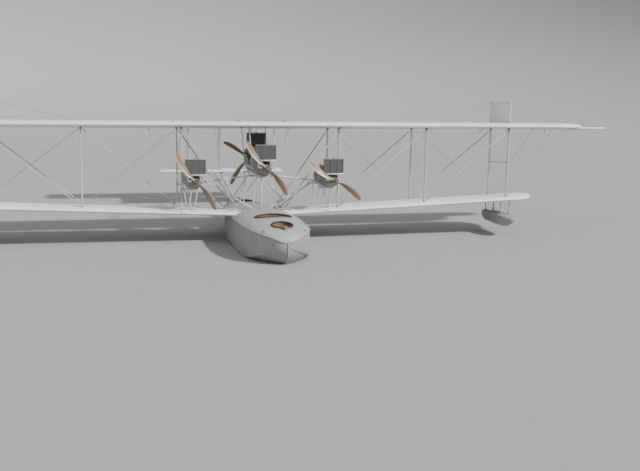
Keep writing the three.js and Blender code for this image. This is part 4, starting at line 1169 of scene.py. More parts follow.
def nacelle(name, x, axis_z, tub_rows, hood_rows):
    bm = bmesh.new()

    def shell(rows, way, base, steps, ends):
        rings = []
        first, last = rows[0][0], rows[-1][0]
        for k in range(steps + 1):
            y = first + (last - first) * k / steps
            half, deep = through(rows, y), through(rows, y, 2)
            rings.append(arch(y, half, way * deep, base))
        for place, y_out, share in ends:
            ring = rings[place]
            mid = at(0, y_out, base + (ring[8].z - base) * 0.4)
            closing = [mid.lerp(at(p.x, y_out, p.z), share) for p in ring]
            rings = [closing] + rings if place == 0 else rings + [closing]
        skin(bm, rings)

    both = tub_rows is CENTRE_TUB
    shell(tub_rows, -1, TUB_RIM, 40, [(0, -1.985, 0.82)] + ([(-1, 2.605, 0.82)] if both else []))
    shell(hood_rows, 1, TUB_RIM - 0.003, 24, [(0, -0.165, 0.9)] + ([(-1, 0.785, 0.9)] if both else []))
    for rows in (SIDE_COWL, PUSHER_COWL) if both else (SIDE_COWL,):
        for side in (1, -1):
            rings = []
            for k in range(13):
                y = rows[0][0] + (rows[-1][0] - rows[0][0]) * k / 12
                half, high = through(rows, y), through(rows, y, 2)
                crest = max(half - 0.06, COWL_INNER_X + 0.008)
                outer = [at(half, y, TUB_RIM - 0.006), at(half, y, high * 0.5)]
                outer += bend([at(half, y, high * 0.55), at(half - 0.004, y, high * 0.86), at(crest, y, high)], 5)
                inner = [at(crest - 0.012, y, high), at(COWL_INNER_X, y, high * 0.5), at(COWL_INNER_X, y, TUB_RIM - 0.006)]
                rings.append([at(side * q.x, q.y, q.z) for q in outer + inner])
            skin(bm, rings)
    mark(bm, 0)
    for rows in (SIDE_COWL, PUSHER_COWL) if both else (SIDE_COWL,):
        for side in (1, -1):
            crests = [at(side * (max(half - 0.06, COWL_INNER_X + 0.008) - 0.005), y, high + 0.002) for y, half, high in rows]
            pipe(bm, crests, 0.009, 8)
    for side in (1, -1):
        ys = [tub_rows[0][0] + 0.02 + 0.12 * k for k in range(200) if tub_rows[0][0] + 0.12 * k < tub_rows[-1][0] - 0.04]
        pipe(bm, [at(side * (through(tub_rows, y) + 0.002), y, TUB_RIM - 0.004) for y in ys], 0.013, 6)
    for y in (-1.5, -0.35, 0.95):
        if y < hood_rows[-1][0] or both:
            half, deep = through(tub_rows, y), through(tub_rows, y, 2)
            ring = [p for p in arch(y, half + 0.003, -deep - 0.003, TUB_RIM, count=20)]
            pipe(bm, ring, 0.008, 6)
    half, high = through(hood_rows, 0.1), through(hood_rows, 0.1, 2)
    for side in (1, -1):
        for k in range(bpy.context.scene.boat_shapes.louvres):
            block(
                bm, at(side * (half + 0.004), 0.075 * k, 0.1), (0.012, 0.03, 0.16), 0.004,
                Matrix.Rotation(side * 0.5, 4, "Z"),
            )
    mark(bm, 1)
    bmesh.ops.translate(bm, vec=(x, 0, axis_z), verts=bm.verts)
    piece(bm, f"nacelle_shell_{name}", ["sheet metal", "steel"], f"nacelle_{name}")


# A vee engine, nose first along +Y from the origin on its shaft
CYLINDER_YS = [0.52 + 0.225 * k for k in range(6)]
BANK_TILT = math.radians(22.5)
BARREL = [
    (0.0, 0.15), (0.098, 0.15), (0.098, 0.166), (0.068, 0.168), (0.068, 0.2), (0.084, 0.212), (0.088, 0.24),
    (0.085, 0.34), (0.088, 0.46), (0.085, 0.53), (0.07, 0.556), (0.04, 0.566), (0.0, 0.568),
]


def engine(name, place, aft, lift):
    bm = bmesh.new()
    nose = [(0, 0), (0.092, 0), (0.1, 0.015), (0.105, 0.03), (0.112, 0.2), (0.14, 0.33), (0.148, 0.42), (0, 0.42)]
    turned(bm, nose, Matrix.Rotation(-math.pi / 2, 4, "X"), 24)
    rings = []
    for y, k in ((0.33, 0.62), (0.37, 0.8), (0.45, 1), (1.85, 1), (1.88, 0.95), (1.9, 0.8)):
        rings.append([at(p.x, p.y, p.z) for p in arch(y, 0.24 * k, 0.185 * k, -0.015, 0.7)])
    skin(bm, rings)
    for k in range(7):
        y = 0.41 + 0.225 * k
        for side in (1, -1):
            block(bm, at(side * 0.225, y, 0.05), (0.03, 0.022, 0.1), 0.006)
    block(bm, at(0, 1.9, 0.1), (0.3, 0.08, 0.16), 0.02)
    rod(bm, at(0, 1.9, 0.3), at(0, 1.68, 0.3), 0.07, 18)
    for side in (1, -1):
        up = at(side * math.sin(BANK_TILT), 0, math.cos(BANK_TILT))
        rod(bm, at(0, 0.43, 0) + up * 0.6, at(0, 1.74, 0) + up * 0.6, 0.034, 14)
        for y in CYLINDER_YS:
            block(
                bm, at(0, y, 0) + up * 0.6, (0.1, 0.1, 0.07), 0.014,
                Matrix.Rotation(side * BANK_TILT, 4, "Y"),
            )
        rod(bm, at(0, 1.76, 0) + up * 0.6, at(0, 1.9, 0) + up * 0.6, 0.06, 18)
        rod(bm, at(0, 1.83, 0) + up * 0.58, at(0, 1.88, 0) + up * 0.12, 0.02, 10)
    for y in (0.95, 1.33):
        block(bm, at(0, y, 0.34), (0.1, 0.15, 0.13), 0.02)
        rod(bm, at(0, y - 0.03, 0.27), at(0, y - 0.03, 0.21), 0.045, 14)
    mark(bm, 0)
    for side in (1, -1):
        for y in CYLINDER_YS:
            turned(bm, BARREL, Matrix.Translation((0, y, 0)) @ Matrix.Rotation(side * BANK_TILT, 4, "Y"), 18)
            out = at(side * math.cos(BANK_TILT), 0, -math.sin(BANK_TILT))
            up = at(side * math.sin(BANK_TILT), 0, math.cos(BANK_TILT))
            start = at(0, y, 0) + up * 0.49 + out * 0.07
            pipe(bm, bend([start, start + out * 0.07, start + out * 0.11 + at(0, 0.05, -0.015)], 3), 0.026, 10)
            for k in (-1, 1):
                foot = at(0, y, 0) + up * 0.43 - out * 0.08 + at(0, k * 0.04, 0)
                rod(bm, foot, foot - out * 0.035, 0.009, 6)
    mark(bm, 1)
    for side in (1, -1):
        up = at(side * math.sin(BANK_TILT), 0, math.cos(BANK_TILT))
        out = at(side * math.cos(BANK_TILT), 0, -math.sin(BANK_TILT))
        pipe(bm, [at(0, y, 0) + up * 0.545 + out * 0.1 for y in (0.44, 1.1, 1.74)], 0.021, 10)
        for y in CYLINDER_YS:
            rod(bm, at(0, y + 0.05, 0) + up * 0.545 + out * 0.1, at(0, y + 0.05, 0) + up * 0.545 + out * 0.05, 0.014, 8)
        elbow = at(0, 1.74 if aft else 0.44, 0) + up * 0.545 + out * 0.1
        ends = [(2.02, lift + 0.16), (2.05, lift + 0.25)] if aft else [(0.32, 0.45), (0.31, 0.38)]
        feed = [elbow, elbow + at(0, 0.06 if aft else -0.06, -0.02)] + [at(side * 0.3, y, z) for y, z in ends]
        pipe(bm, bend(feed, 5), 0.021, 10)
        rail = at(side * 0.07, 0, 0.4)
        pipe(bm, [rail + at(0, y, 0) for y in (0.6, 0.95, 1.33, 1.7)], 0.024, 10)
        for y in CYLINDER_YS:
            rod(bm, rail + at(0, y, 0), at(0, y, 0) + up * 0.47 - out * 0.06, 0.02, 8)
        for y in (0.95, 1.33):
            rod(bm, rail + at(0, y, 0), at(0, y, 0.38), 0.02, 8)
    mark(bm, 2)
    for side in (1, -1):
        up = at(side * math.sin(BANK_TILT), 0, math.cos(BANK_TILT))
        out = at(side * math.cos(BANK_TILT), 0, -math.sin(BANK_TILT))
        tube = up * 0.39 - out * 0.115
        rod(bm, at(0, 0.5, 0) + tube, at(0, 1.8, 0) + tube, 0.012, 8)
        pipe(bm, bend([at(0, 1.8, 0) + tube, at(0, 1.86, 0) + up * 0.5 - out * 0.06, at(0, 1.84, 0) + up * 0.6], 4), 0.012, 8)
        for y in CYLINDER_YS:
            for k in (-1, 1):
                foot = at(0, y, 0) + up * 0.43 - out * 0.115 + at(0, k * 0.04, 0)
                pipe(bm, bend([foot, foot - out * 0.02 - up * 0.012, at(0, y + k * 0.07, 0) + tube], 2), 0.005, 5)
    mark(bm, 3)
    for side in (1, -1):
        for k in range(14):
            bolt(bm, at(side * 0.238, 0.47 + 0.104 * k, -0.004), at(0, 0, 1), 0.009)
    for k in range(8):
        turn = 2 * math.pi * k / 8
        bolt(bm, at(0.12 * math.cos(turn), 0.33, 0.12 * math.sin(turn)), at(0, -1, 0), 0.009)
    mark(bm, 4)
    bmesh.ops.transform(bm, matrix=place, verts=bm.verts)
    piece(
        bm, f"engine_detail_{name}", ["cast metal", "cylinder steel", "copper", "rubber", "steel"],
        f"engine_{name}", sharp=40,
    )


def radiator(name, place, lift, over_fairing):
    """A radiator on the legs, pipe and feet of a tractor engine, or on two posts over the fairing."""
    bm = bmesh.new()
    middle, low, top = lift + 0.627, lift + 0.273, lift + 0.964
    block(bm, at(0, 0, middle), (0.88, 0.12, 0.64))
    mark(bm, 0)
    for side in (1, -1):
        block(bm, at(side * 0.448, 0, middle), (0.034, 0.15, 0.64), 0.008)
    for k in (-1, 1):
        for y in (-0.068, 0.068):
            block(bm, at(k * 0.15, y, middle), (0.012, 0.014, 0.64), 0.003)
    mark(bm, 1)
    block(bm, at(0, 0, low), (0.95, 0.18, 0.078), 0.03)
    for side in (1, -1) if over_fairing else ():
        block(bm, at(side * 0.2, 0, lift / 2 + 0.249), (0.07, 0.1, lift - 0.018), 0.014)
        tilt = Matrix.Translation((side * 0.2, 0, 0.272)) @ Matrix.Rotation(side * 0.27, 4, "Y")
        block(bm, at(0, 0, 0), (0.13, 0.12, 0.024), 0.006, tilt)
    if not over_fairing:
        block(bm, at(-0.33, 0, lift / 2 + 0.12), (0.044, 0.1, lift + 0.24), 0.008)
        stout = [(0, 0), (0.062, 0), (0.062, 0.03), (0.045, 0.036), (0.045, lift + 0.17), (0.062, lift + 0.176),
                 (0.062, lift + 0.215), (0.05, lift + 0.25), (0, lift + 0.25)]
        turned(bm, stout, Matrix.Translation((0.225, 0, 0)), 20)
        for side in (1, -1):
            block(bm, at(side * 0.268, 0, 0.0045), (0.18, 0.11, 0.04), 0.008)
    mark(bm, 2)
    block(bm, at(0, 0, top), (0.95, 0.18, 0.044), 0.02)
    mark(bm, 4)
    turned(bm, [(0, 0), (0.04, 0), (0.04, 0.035), (0.052, 0.037), (0.052, 0.06), (0.03, 0.068), (0, 0.069)],
           Matrix.Translation((0, 0, top)), 20)
    spill = [at(0.06, 0.05, top), at(0.12, 0.09, top + 0.016), at(0.42, 0.1, top - 0.06), at(0.44, 0.1, low + 0.02)]
    pipe(bm, bend(spill, 5), 0.009, 8)
    for side in (1, -1):
        stay_foot = at(side * 0.29, 0.5, 0.19) if over_fairing else at(side * 0.25, 0.6, 0.56)
        rod(bm, at(side * 0.42, 0.07, top - 0.03), stay_foot, 0.009, 8)
        for k in range(11):
            for y in (-0.075, 0.075):
                foot = at(side * 0.448, y, low + 0.08 + 0.054 * k)
                bolt(bm, foot, at(0, math.copysign(1, y), 0), 0.006)
    mark(bm, 3)
    bmesh.ops.transform(bm, matrix=place, verts=bm.verts)
    piece(
        bm, f"radiator_detail_{name}", ["radiator core", "dark paint", "tinned sheet", "steel", "tank paint"],
        f"radiator_{name}", sharp=40,
    )


# Propeller blades. Columns: radius, chord, thickness, pitch angle in degrees, sweep
BLADE_ROWS = [
    (0.04, 0.15, 0.12, 60, 0), (0.26, 0.17, 0.084, 48, -0.048), (0.56, 0.24, 0.052, 33, -0.092),
    (0.9, 0.292, 0.034, 24, -0.092), (1.22, 0.272, 0.022, 18, -0.058), (1.4, 0.214, 0.014, 16, -0.026),
    (1.485, 0.14, 0.011, 16, -0.008), (1.511, 0.1, 0.008, 16, -0.002), (1.52, 0.03, 0.004, 16, 0),
]


def blade_point(radius, c, t, slim, grow=0.0):
    """A point of the blade's section: c is the share of the chord from its middle, t of the thickness."""
    chord, thick, pitch, sweep = (through(BLADE_ROWS, radius, k) for k in (1, 2, 3, 4))
    a = math.radians(pitch)
    across, deep = c * (chord * slim + 2 * grow), t * (thick + 2 * grow)
    return at(
        sweep + across * math.cos(a) - deep * math.sin(a),
        -HUB_DEPTH * 0.55 + across * math.sin(a) + deep * math.cos(a), radius,
    )


def propeller(name, place, blades, angle):
    bm = bmesh.new()

    def section(count=18):
        ring = []
        for k in range(count):
            turn = 2 * math.pi * k / count
            t = 0.5 * math.sin(turn) * (1 + 0.3 * math.cos(turn))
            ring.append((-0.5 * math.cos(turn), t if t > 0 else t * 0.7))
        return ring

    slim = 0.8 if blades > 2 else 1.0
    turns = [Matrix.Rotation(-math.radians(angle) - 2 * math.pi * k / blades, 4, "Y") for k in range(blades)]
    radii = [0.04 + 0.055 * k for k in range(27)] + [1.5, 1.512, 1.52]
    for turn in turns:
        skin(bm, [[turn @ blade_point(r, c, t, slim) for c, t in section()] for r in radii])
    forward = Matrix.Rotation(math.pi / 2, 4, "X")
    turned(bm, [(0, 0.004), (0.118, 0.004), (0.13, 0.03), (0.13, 0.15), (0.118, 0.176), (0, 0.176)], forward, 32)
    mark(bm, 0)
    for turn in turns:
        rings = []
        for r in [0.35 + 0.045 * k for k in range(26)] + [1.512]:
            edge = [(-0.3, 0.46), (-0.42, 0.32), (-0.5, 0), (-0.42, -0.24), (-0.3, -0.33)]
            outer = [turn @ blade_point(r, c, t, slim, 0.0014) for c, t in edge]
            rings.append(outer + [turn @ blade_point(r, -0.3, 0.05, slim)])
        skin(bm, rings)
    mark(bm, 1)
    turned(bm, [(0, -0.0005), (0.105, -0.0005), (0.105, 0.008), (0, 0.008)], forward, 32)
    turned(bm, [(0, 0.172), (0.11, 0.172), (0.11, 0.182), (0.07, 0.186), (0, 0.186)], forward, 32)
    mark(bm, 2)
    turned(bm, [(0, 0.18), (0.056, 0.18), (0.056, 0.2), (0.042, 0.235), (0, 0.238)], forward, 24)
    for k in range(8):
        turn = 2 * math.pi * (k + 0.5) / 8
        bolt(bm, at(0.088 * math.cos(turn), -0.18, 0.088 * math.sin(turn)), at(0, -1, 0), 0.011)
    mark(bm, 3)
    bmesh.ops.transform(bm, matrix=place, verts=bm.verts)
    piece(
        bm, f"propeller_wood_{name}", ["propeller wood", "tinned sheet", "cylinder steel", "steel"],
        f"propeller_{name}", f"propeller_{name}", sharp=45,
    )


# Engines with their radiators and propellers. Columns: name, x, shaft z, nose y, faces aft, blades, blade
# angle in degrees from upright, how much higher its radiator stands
POWER = [
    ("port", ENGINE_X, SIDE_AXIS_Z, NOSE_Y, False, 2, 54, 0),
    ("centre", 0, CENTRE_AXIS_Z, NOSE_Y, False, 2, 37.7, 0.06),
    ("starboard", -ENGINE_X, SIDE_AXIS_Z, NOSE_Y, False, 2, 35, 0),
    ("pusher", 0, CENTRE_AXIS_Z, PUSHER_NOSE_Y, True, 4, 35, 0.464),
]
RADIATOR_Y, PUSHER_RADIATOR_Y = -1.775, 0.62


def facing(x, y, z, aft):
    """The place of a piece built nose first along +Y, turned round for the pusher."""
    return Matrix.Translation((x, y, z)) @ Matrix.Rotation(math.pi if aft else 0, 4, "Z")


def engines():
    for name, x, z, nose_y, aft, _, _, lift in POWER:
        engine(name, facing(x, nose_y, z, aft), aft, lift)


def radiators():
    for name, x, z, _, aft, _, _, lift in POWER:
        radiator(name, facing(x, PUSHER_RADIATOR_Y if aft else RADIATOR_Y, z, aft), lift, aft)


def propellers():
    for name, x, z, nose_y, aft, blades, angle, _ in POWER:
        propeller(name, facing(x, nose_y, z, aft), blades, angle)


# Struts and trusses
def beam(bm, a, b, wide, deep, rounding=0.008):
    """A square-edged wooden member from a to b; wide is across the aircraft, or along it for a crossbar."""
    a, b = Vector(a), Vector(b)
    length = (b - a).length
    size = (wide, deep, length)
    block(bm, at(0, 0, 0), size, rounding, stand(a.lerp(b, 0.5), b))


def strut_fitting(bm, spot, way, chord, thick):
    """A forked steel socket round a strut's end, with its cross bolts."""
    spot, way = Vector(spot), Vector(way).normalized()
    block(bm, spot + way * 0.02, (thick * 1.5, chord * 1.05, 0.04), 0.008)
    faired(bm, spot + way * 0.02, spot + way * 0.13, chord * 0.84, thick * 1.02, 0.98, 14, 2)
    for k in (-0.2, 0.2):
        for side in (-1, 1):
            bolt(bm, spot + way * 0.085 + at(side * thick * 0.44, k * chord, 0), at(side, 0, 0), 0.009)


def interplane(bm, x, y, chord=0.19, thick=0.076):
    """A strut between the wings, its wood only; the fittings come after it."""
    foot = at(x, y, wing_height(LOWER, x, y, 1) - 0.02)
    head = at(x, y, wing_height(UPPER, x, y, 0) + 0.02)
    faired(bm, foot, head, chord, thick, 0.62, 18, 12)
    return foot + at(0, 0, 0.02), head - at(0, 0, 0.02)


def interplane_fittings(bm, ends, dark):
    """Steel sockets at the feet and larger ones under the upper wing, darkened as painted shade for the wing's shadow;
    dark is their finish's number.
    """
    for foot, _ in ends:
        strut_fitting(bm, foot, at(0, 0, 1), 0.125, 0.05)
    mark(bm, 1)
    for _, head in ends:
        strut_fitting(bm, head, at(0, 0, -1), 0.155, 0.064)
    # painted shade: the head sockets take the dark finish for the upper wing's shadow
    mark(bm, dark)


def wing_struts(side, name):
    for y, end in ((FRONT_SPAR_Y, "front"), (REAR_SPAR_Y, "rear")):
        bm = bmesh.new()
        ends = [interplane(bm, MIDDLE_X, y)]
        mark(bm, 0)
        # finish 2 darkens the head sockets as painted shade under the upper wing
        interplane_fittings(bm, ends, 2)
        piece(
            bm, f"strut_faired_{end}_{name}", ["strut wood", "steel", "dark paint"],
            f"strut_{end}_{name}", mirror=side < 0,
        )
    bm = bmesh.new()
    ends = [interplane(bm, OUTER_X, y) for y in SPARS_Y]
    middles = [foot.lerp(head, 0.5) for foot, head in ends]
    rod(bm, middles[0], middles[1], 0.04, 12)
    mark(bm, 0)
    # finish 2 darkens the head sockets as painted shade under the upper wing
    interplane_fittings(bm, ends, 2)
    for middle, way in zip(middles, (1, -1)):
        rod(bm, middle, middle + at(0, way * 0.14, 0), 0.046, 12)
    mark(bm, 1)
    piece(
        bm, f"struts_faired_outer_{name}", ["strut wood", "steel", "dark paint"],
        f"struts_outer_{name}", mirror=side < 0,
    )


def side_truss(side, name):
    """The wooden frame under a side engine, with the strut that stands inboard of the engine's bay."""
    bm = bmesh.new()
    knee = 2.7746
    z = SIDE_AXIS_Z
    for x in (ENGINE_X - 0.22, ENGINE_X + 0.22):
        beam(bm, at(x, -1.25, z - 0.4), at(x, 1.45, z - 0.4), 0.07, 0.09)
        for y in SPARS_Y:
            foot_x = ENGINE_X + math.copysign(0.06, x - ENGINE_X)
            faired(bm, at(x, y, z - 0.45), at(foot_x, y, wing_height(LOWER, foot_x, y, 0.6)), 0.1, 0.056, 0.7)
    for y in SPARS_Y:
        beam(bm, at(knee - 0.03, y, z - 0.47), at(INNER_X, y, z - 0.47), 0.07, 0.08)
    ends = [interplane(bm, INNER_X, y) for y in SPARS_Y]
    front, rear = SPARS_Y
    beam(bm, at(knee, front, z - 0.495), at(knee, front, z - 0.105), 0.06, 0.08)
    faired(bm, at(knee, front, 2.864), at(0.47, front, 3.146), 0.11, 0.08, 0.8)
    faired(bm, at(2.6, front, 2.885), at(0.33, front + 0.17, 1.54), 0.096, 0.074, 0.75)
    faired(bm, at(knee + 0.02, rear, z - 0.47), at(1.3, rear + 0.13, 1.3), 0.1, 0.06, 0.75)
    mark(bm, 0)
    # finish 3 darkens the head sockets as painted shade under the upper wing
    interplane_fittings(bm, ends, 3)
    block(bm, at(2.59, front, 2.885), (0.13, 0.13, 0.1), 0.014)
    block(bm, at(knee, front, 2.85), (0.085, 0.12, 0.13), 0.012)
    block(bm, at(knee, rear, z - 0.48), (0.1, 0.11, 0.12), 0.012)
    for y in SPARS_Y:
        block(bm, at(INNER_X, y, z - 0.47), (0.1, 0.16, 0.11), 0.014)
        for x in (ENGINE_X - 0.22, ENGINE_X + 0.22):
            block(bm, at(x, y, z - 0.445), (0.09, 0.13, 0.06), 0.01)
            bolt(bm, at(x, y - 0.065, z - 0.445), at(0, -1, 0), 0.011)
        for x in (ENGINE_X - 0.06, ENGINE_X + 0.06):
            block(bm, at(x, y, wing_height(LOWER, x, y, 1) + 0.01), (0.08, 0.14, 0.04), 0.008)
    for x, y, z_end in ((0.49, front, 3.144), (0.33, front + 0.17, 1.56), (1.3, rear + 0.13, 1.33)):
        block(bm, at(x, y, z_end), (0.09, 0.12, 0.1), 0.012)
    for y in (-1.1, 1.3):
        for x in (ENGINE_X - 0.22, ENGINE_X + 0.22):
            bolt(bm, at(x, y, z - 0.355), at(0, 0, 1), 0.012)
    mark(bm, 1)
    for y in SPARS_Y:
        base_z = wing_height(LOWER, ENGINE_X, y, 1) + 0.06
        for s in (1, -1):
            rod(bm, at(ENGINE_X - s * 0.08, y, base_z), at(ENGINE_X + s * 0.22, y, z - 0.48), 0.004, 5)
    for x in (ENGINE_X - 0.22, ENGINE_X + 0.22):
        foot_x = ENGINE_X + math.copysign(0.06, x - ENGINE_X)
        lows = [at(foot_x, y, wing_height(LOWER, foot_x, y, 1) + 0.06) for y in SPARS_Y]
        tops = [at(x, y, z - 0.49) for y in SPARS_Y]
        rod(bm, lows[0], tops[1], 0.004, 5)
        rod(bm, lows[1], tops[0], 0.004, 5)
    mark(bm, 2)
    piece(
        bm, f"engine_truss_{name}", ["strut wood", "steel", "wire", "dark paint"],
        f"truss_{name}", mirror=side < 0,
    )


def centre_truss():
    """The wooden frame over the hull that carries the two centre engines."""
    bm = bmesh.new()
    z = CENTRE_AXIS_Z
    for side in (1, -1):
        beam(bm, at(side * 0.23, -1.5, z - 0.4), at(side * 0.23, 1.8, z - 0.4), 0.07, 0.09)
        for y in SPARS_Y:
            foot_x = 1.4
            foot = at(side * foot_x, y, wing_height(LOWER, foot_x, y, 0.7))
            faired(bm, at(side * 0.15, y, 3.12), foot, 0.12, 0.052, 0.7)
        faired(bm, at(side * 0.44, REAR_SPAR_Y, 3.12), at(side * 0.47, REAR_SPAR_Y, 1.35), 0.09, 0.05, 0.8)
    for y in SPARS_Y:
        beam(bm, at(-0.485, y, 3.12), at(0.485, y, 3.12), 0.07, 0.08)
        faired(bm, at(0, y, 3.12), at(0, y, 1.35), 0.09, 0.06, 0.8)
    mark(bm, 0)
    for y in SPARS_Y:
        block(bm, at(0, y, 3.1), (0.34, 0.1, 0.1), 0.012)
        for side in (1, -1):
            block(bm, at(side * 0.23, y, 3.14), (0.09, 0.12, 0.05), 0.01)
            block(bm, at(side * 0.47, y, 3.12), (0.04, 0.1, 0.1), 0.008)
            bolt(bm, at(side * 0.1, y - 0.052, 3.1), at(0, -1, 0), 0.012)
            foot_z = wing_height(LOWER, 1.4, y, 1)
            block(bm, at(side * 1.38, y, foot_z + 0.012), (0.13, 0.15, 0.04), 0.008)
        deck = deck_height(0, y)
        block(bm, at(0, y, max(deck, wing_height(LOWER, 0, y, 1)) + 0.012), (0.11, 0.13, 0.04), 0.008)
    mark(bm, 1)
    for side in (1, -1):
        lows = [at(side * 1.33, y, wing_height(LOWER, 1.33, y, 1) + 0.07) for y in SPARS_Y]
        tops = [at(side * 0.2, y, 3.06) for y in SPARS_Y]
        rod(bm, lows[0], tops[1], 0.004, 5)
        rod(bm, lows[1], tops[0], 0.004, 5)
    mark(bm, 2)
    piece(bm, "engine_truss_centre", ["strut wood", "steel", "wire"], "truss_centre")


def cabane(side, name):
    """The struts from the centre engines' frame up to the upper wing."""
    bm = bmesh.new()
    tops = []
    beam(bm, at(0.41, -0.95, 3.48), at(0.41, 1.55, 3.48), 0.05, 0.07)
    for y in SPARS_Y:
        top = at(0.6, y, wing_height(UPPER, 0.6, y, 0) + 0.02)
        faired(bm, at(0.41, y, 3.46), top, 0.1, 0.046, 0.75)
        tops.append(top)
    mark(bm, 0)
    for top, y in zip(tops, SPARS_Y):
        block(bm, top - at(0, 0, 0.035), (0.09, 0.14, 0.03), 0.008)
        block(bm, at(0.41, y, 3.5), (0.062, 0.12, 0.1), 0.01)
    mark(bm, 1)
    foot = [at(0.42, y, 3.56) for y in SPARS_Y]
    rod(bm, foot[0], tops[1] - at(0, 0, 0.08), 0.004, 5)
    rod(bm, foot[1], tops[0] - at(0, 0, 0.08), 0.004, 5)
    mark(bm, 2)
    piece(
        bm, f"cabane_struts_{name}", ["strut wood", "steel", "wire"], f"cabane_{name}",
        mirror=side < 0,
    )


def tail_struts(side, name):
    bm = bmesh.new()
    lower, upper = TAILS[1], TAILS[0]
    foot_x, head_x = lower[2] * 0.86, upper[2] * 0.76
    ys = (12.15, 12.72)
    ends = [(at(foot_x, y, lower[1] + 0.045), at(head_x, y, upper[1] - 0.045)) for y in ys]
    for foot, head in ends:
        faired(bm, foot, head, 0.1, 0.044, 0.68)
    middles = [foot.lerp(head, 0.5) for foot, head in ends]
    rod(bm, middles[0], middles[1], 0.018, 10)
    mark(bm, 0)
    for foot, head in ends:
        way = (head - foot).normalized()
        block(bm, foot + way * 0.03, (0.07, 0.11, 0.05), 0.01)
        block(bm, head - way * 0.03, (0.07, 0.11, 0.05), 0.01)
    mark(bm, 1)
    low, high = lower[1] + 0.08, upper[1] - 0.08
    for a, b in (
        (at(foot_x - 0.02, ys[0], low + 0.02), at(FIN_X + 0.1, ys[0], high)),
        (at(FIN_X + 0.1, ys[0], low), at(head_x - 0.05, ys[0], high - 0.02)),
        (at(FIN_X - 0.1, ys[0], low), at(0.08, ys[0], high)), (at(0.08, ys[0], low), at(FIN_X - 0.1, ys[0], high)),
    ):
        rod(bm, a, b, 0.005, 5)
    mark(bm, 2)
    piece(
        bm, f"tail_struts_faired_{name}", ["strut wood", "steel", "wire"],
        f"tail_struts_{name}", mirror=side < 0,
    )


def skid_fin(side, name):
    """The cloth panel over the outer struts, its two king posts and the wires that hold the overhang."""
    bm = bmesh.new()
    front, rear = SPARS_Y
    top_z = 6.64
    steps = [k / 6 for k in range(7)]
    rings = []
    for k in range(13):
        s = k / 12
        bottom = [wing_height(UPPER, OUTER_X, front + (rear - front) * t, 0.9) for t in steps]
        sunk = 0.004 * math.sin(math.pi * (s * 3 % 1))
        across = [0.025 - sunk * (1 if 0 < t < 1 else 0) for t in steps]
        row = [(front + (rear - front) * t, b + (top_z - b) * s, w) for t, b, w in zip(steps, bottom, across)]
        rings.append([at(OUTER_X + w, y, z) for y, z, w in row] + [at(OUTER_X - w, y, z) for y, z, w in row[::-1]])
    skin(bm, rings)
    mark(bm, 0)
    for y in SPARS_Y:
        foot = at(OUTER_X, y, wing_height(UPPER, OUTER_X, y, 0.9))
        beam(bm, foot, at(OUTER_X, y, 6.68), 0.08, 0.11, 0.02)
    beam(bm, at(OUTER_X, front, top_z - 0.012), at(OUTER_X, rear, top_z - 0.012), 0.06, 0.05, 0.012)
    mark(bm, 1)
    for y in SPARS_Y:
        block(bm, at(OUTER_X, y, 6.625), (0.11, 0.13, 0.05), 0.01)
        block(bm, at(OUTER_X, y, wing_height(UPPER, OUTER_X, y, 1) + 0.02), (0.13, 0.16, 0.04), 0.01)
        for x in (MIDDLE_X, OVERHANG_X):
            block(bm, at(x, y, wing_height(UPPER, x, y, 1) + 0.015), (0.07, 0.08, 0.03), 0.008)
    mark(bm, 2)
    for y in SPARS_Y:
        for x in (MIDDLE_X, OVERHANG_X):
            stay(bm, at(x, y, wing_height(UPPER, x, y, 1) + 0.01), at(OUTER_X, y, 6.64), 0.0075)
    mark(bm, 3)
    piece(
        bm, f"skid_fin_panel_{name}", ["fin cloth", "strut wood", "steel", "wire"],
        f"skid_fin_{name}", mirror=side < 0,
    )


# Rigging
def stay(bm, foot, head, radius, barrel=True):
    """A taut wire with a turnbuckle near its foot."""
    foot, head = Vector(foot), Vector(head)
    way = (head - foot).normalized()
    rod(bm, foot, head, radius, 6)
    if barrel:
        start = foot + way * 0.16
        turned(
            bm, [(0, 0), (radius * 1.6, 0), (radius * 2.6, 0.06), (radius * 2.6, 0.16), (radius * 1.6, 0.22), (0, 0.22)],
            stand(start, head), 8,
        )


# The wires between the wings. Columns: foot x, head x, radius, doubled
STAYS = [
    (1.05, 3.7, 0.015, True), (8.1, 3.7, 0.008, False), (3.7, 8.1, 0.015, True), (12.45, 8.1, 0.008, False),
    (8.1, 12.45, 0.015, True), (12.45, 14.8, 0.009, False),
]
STAY_AHEAD = 0.135


def wing_stays(side, name):
    for spar, end in ((FRONT_SPAR_Y, "front"), (REAR_SPAR_Y, "rear")):
        bm = bmesh.new()
        y = spar - STAY_AHEAD
        lines = []
        for foot_x, head_x, radius, doubled in STAYS:
            foot = at(foot_x, y, wing_height(LOWER, foot_x, y, 1) + 0.03)
            head = at(head_x, y, wing_height(UPPER, head_x, y, 0) - 0.03)
            lines.append((foot, head, radius, doubled))
        for foot, head, radius, doubled in lines:
            if doubled:
                across = (head - foot).normalized().cross(at(0, 1, 0)) * 0.022
                for way in (1, -1):
                    stay(bm, foot + across * way, head + across * way, 0.009)
            else:
                stay(bm, foot, head, radius)
        mark(bm, 0)
        for foot, head, radius, doubled in lines:
            for spot, way in ((foot, 1), (head, -1)):
                block(bm, spot + at(0, 0.02, -0.02 * way), (0.06, 0.06, 0.05), 0.01)
                block(bm, spot + at(0, 0.09, -0.034 * way), (0.07, 0.15, 0.012), 0.003)
                bolt(bm, spot + at(0, 0.13, -0.03 * way), at(0, 0, way), 0.01)
        mark(bm, 1)
        for foot, head, radius, doubled in lines:
            if doubled:
                way = (head - foot).normalized()
                beam(bm, foot + way * 0.5, head - way * 0.25, 0.015, 0.046, 0.004)
                count = int((head - foot).length / 0.95)
                for k in range(1, count + 1):
                    spot = foot.lerp(head, k / (count + 1))
                    beam(bm, spot - way * 0.03, spot + way * 0.03, 0.024, 0.06, 0.004)
        mark(bm, 2)
        piece(
            bm, f"stay_wires_{end}_{name}", ["wire", "steel", "strut wood"], f"stays_{end}_{name}",
            mirror=side < 0,
        )


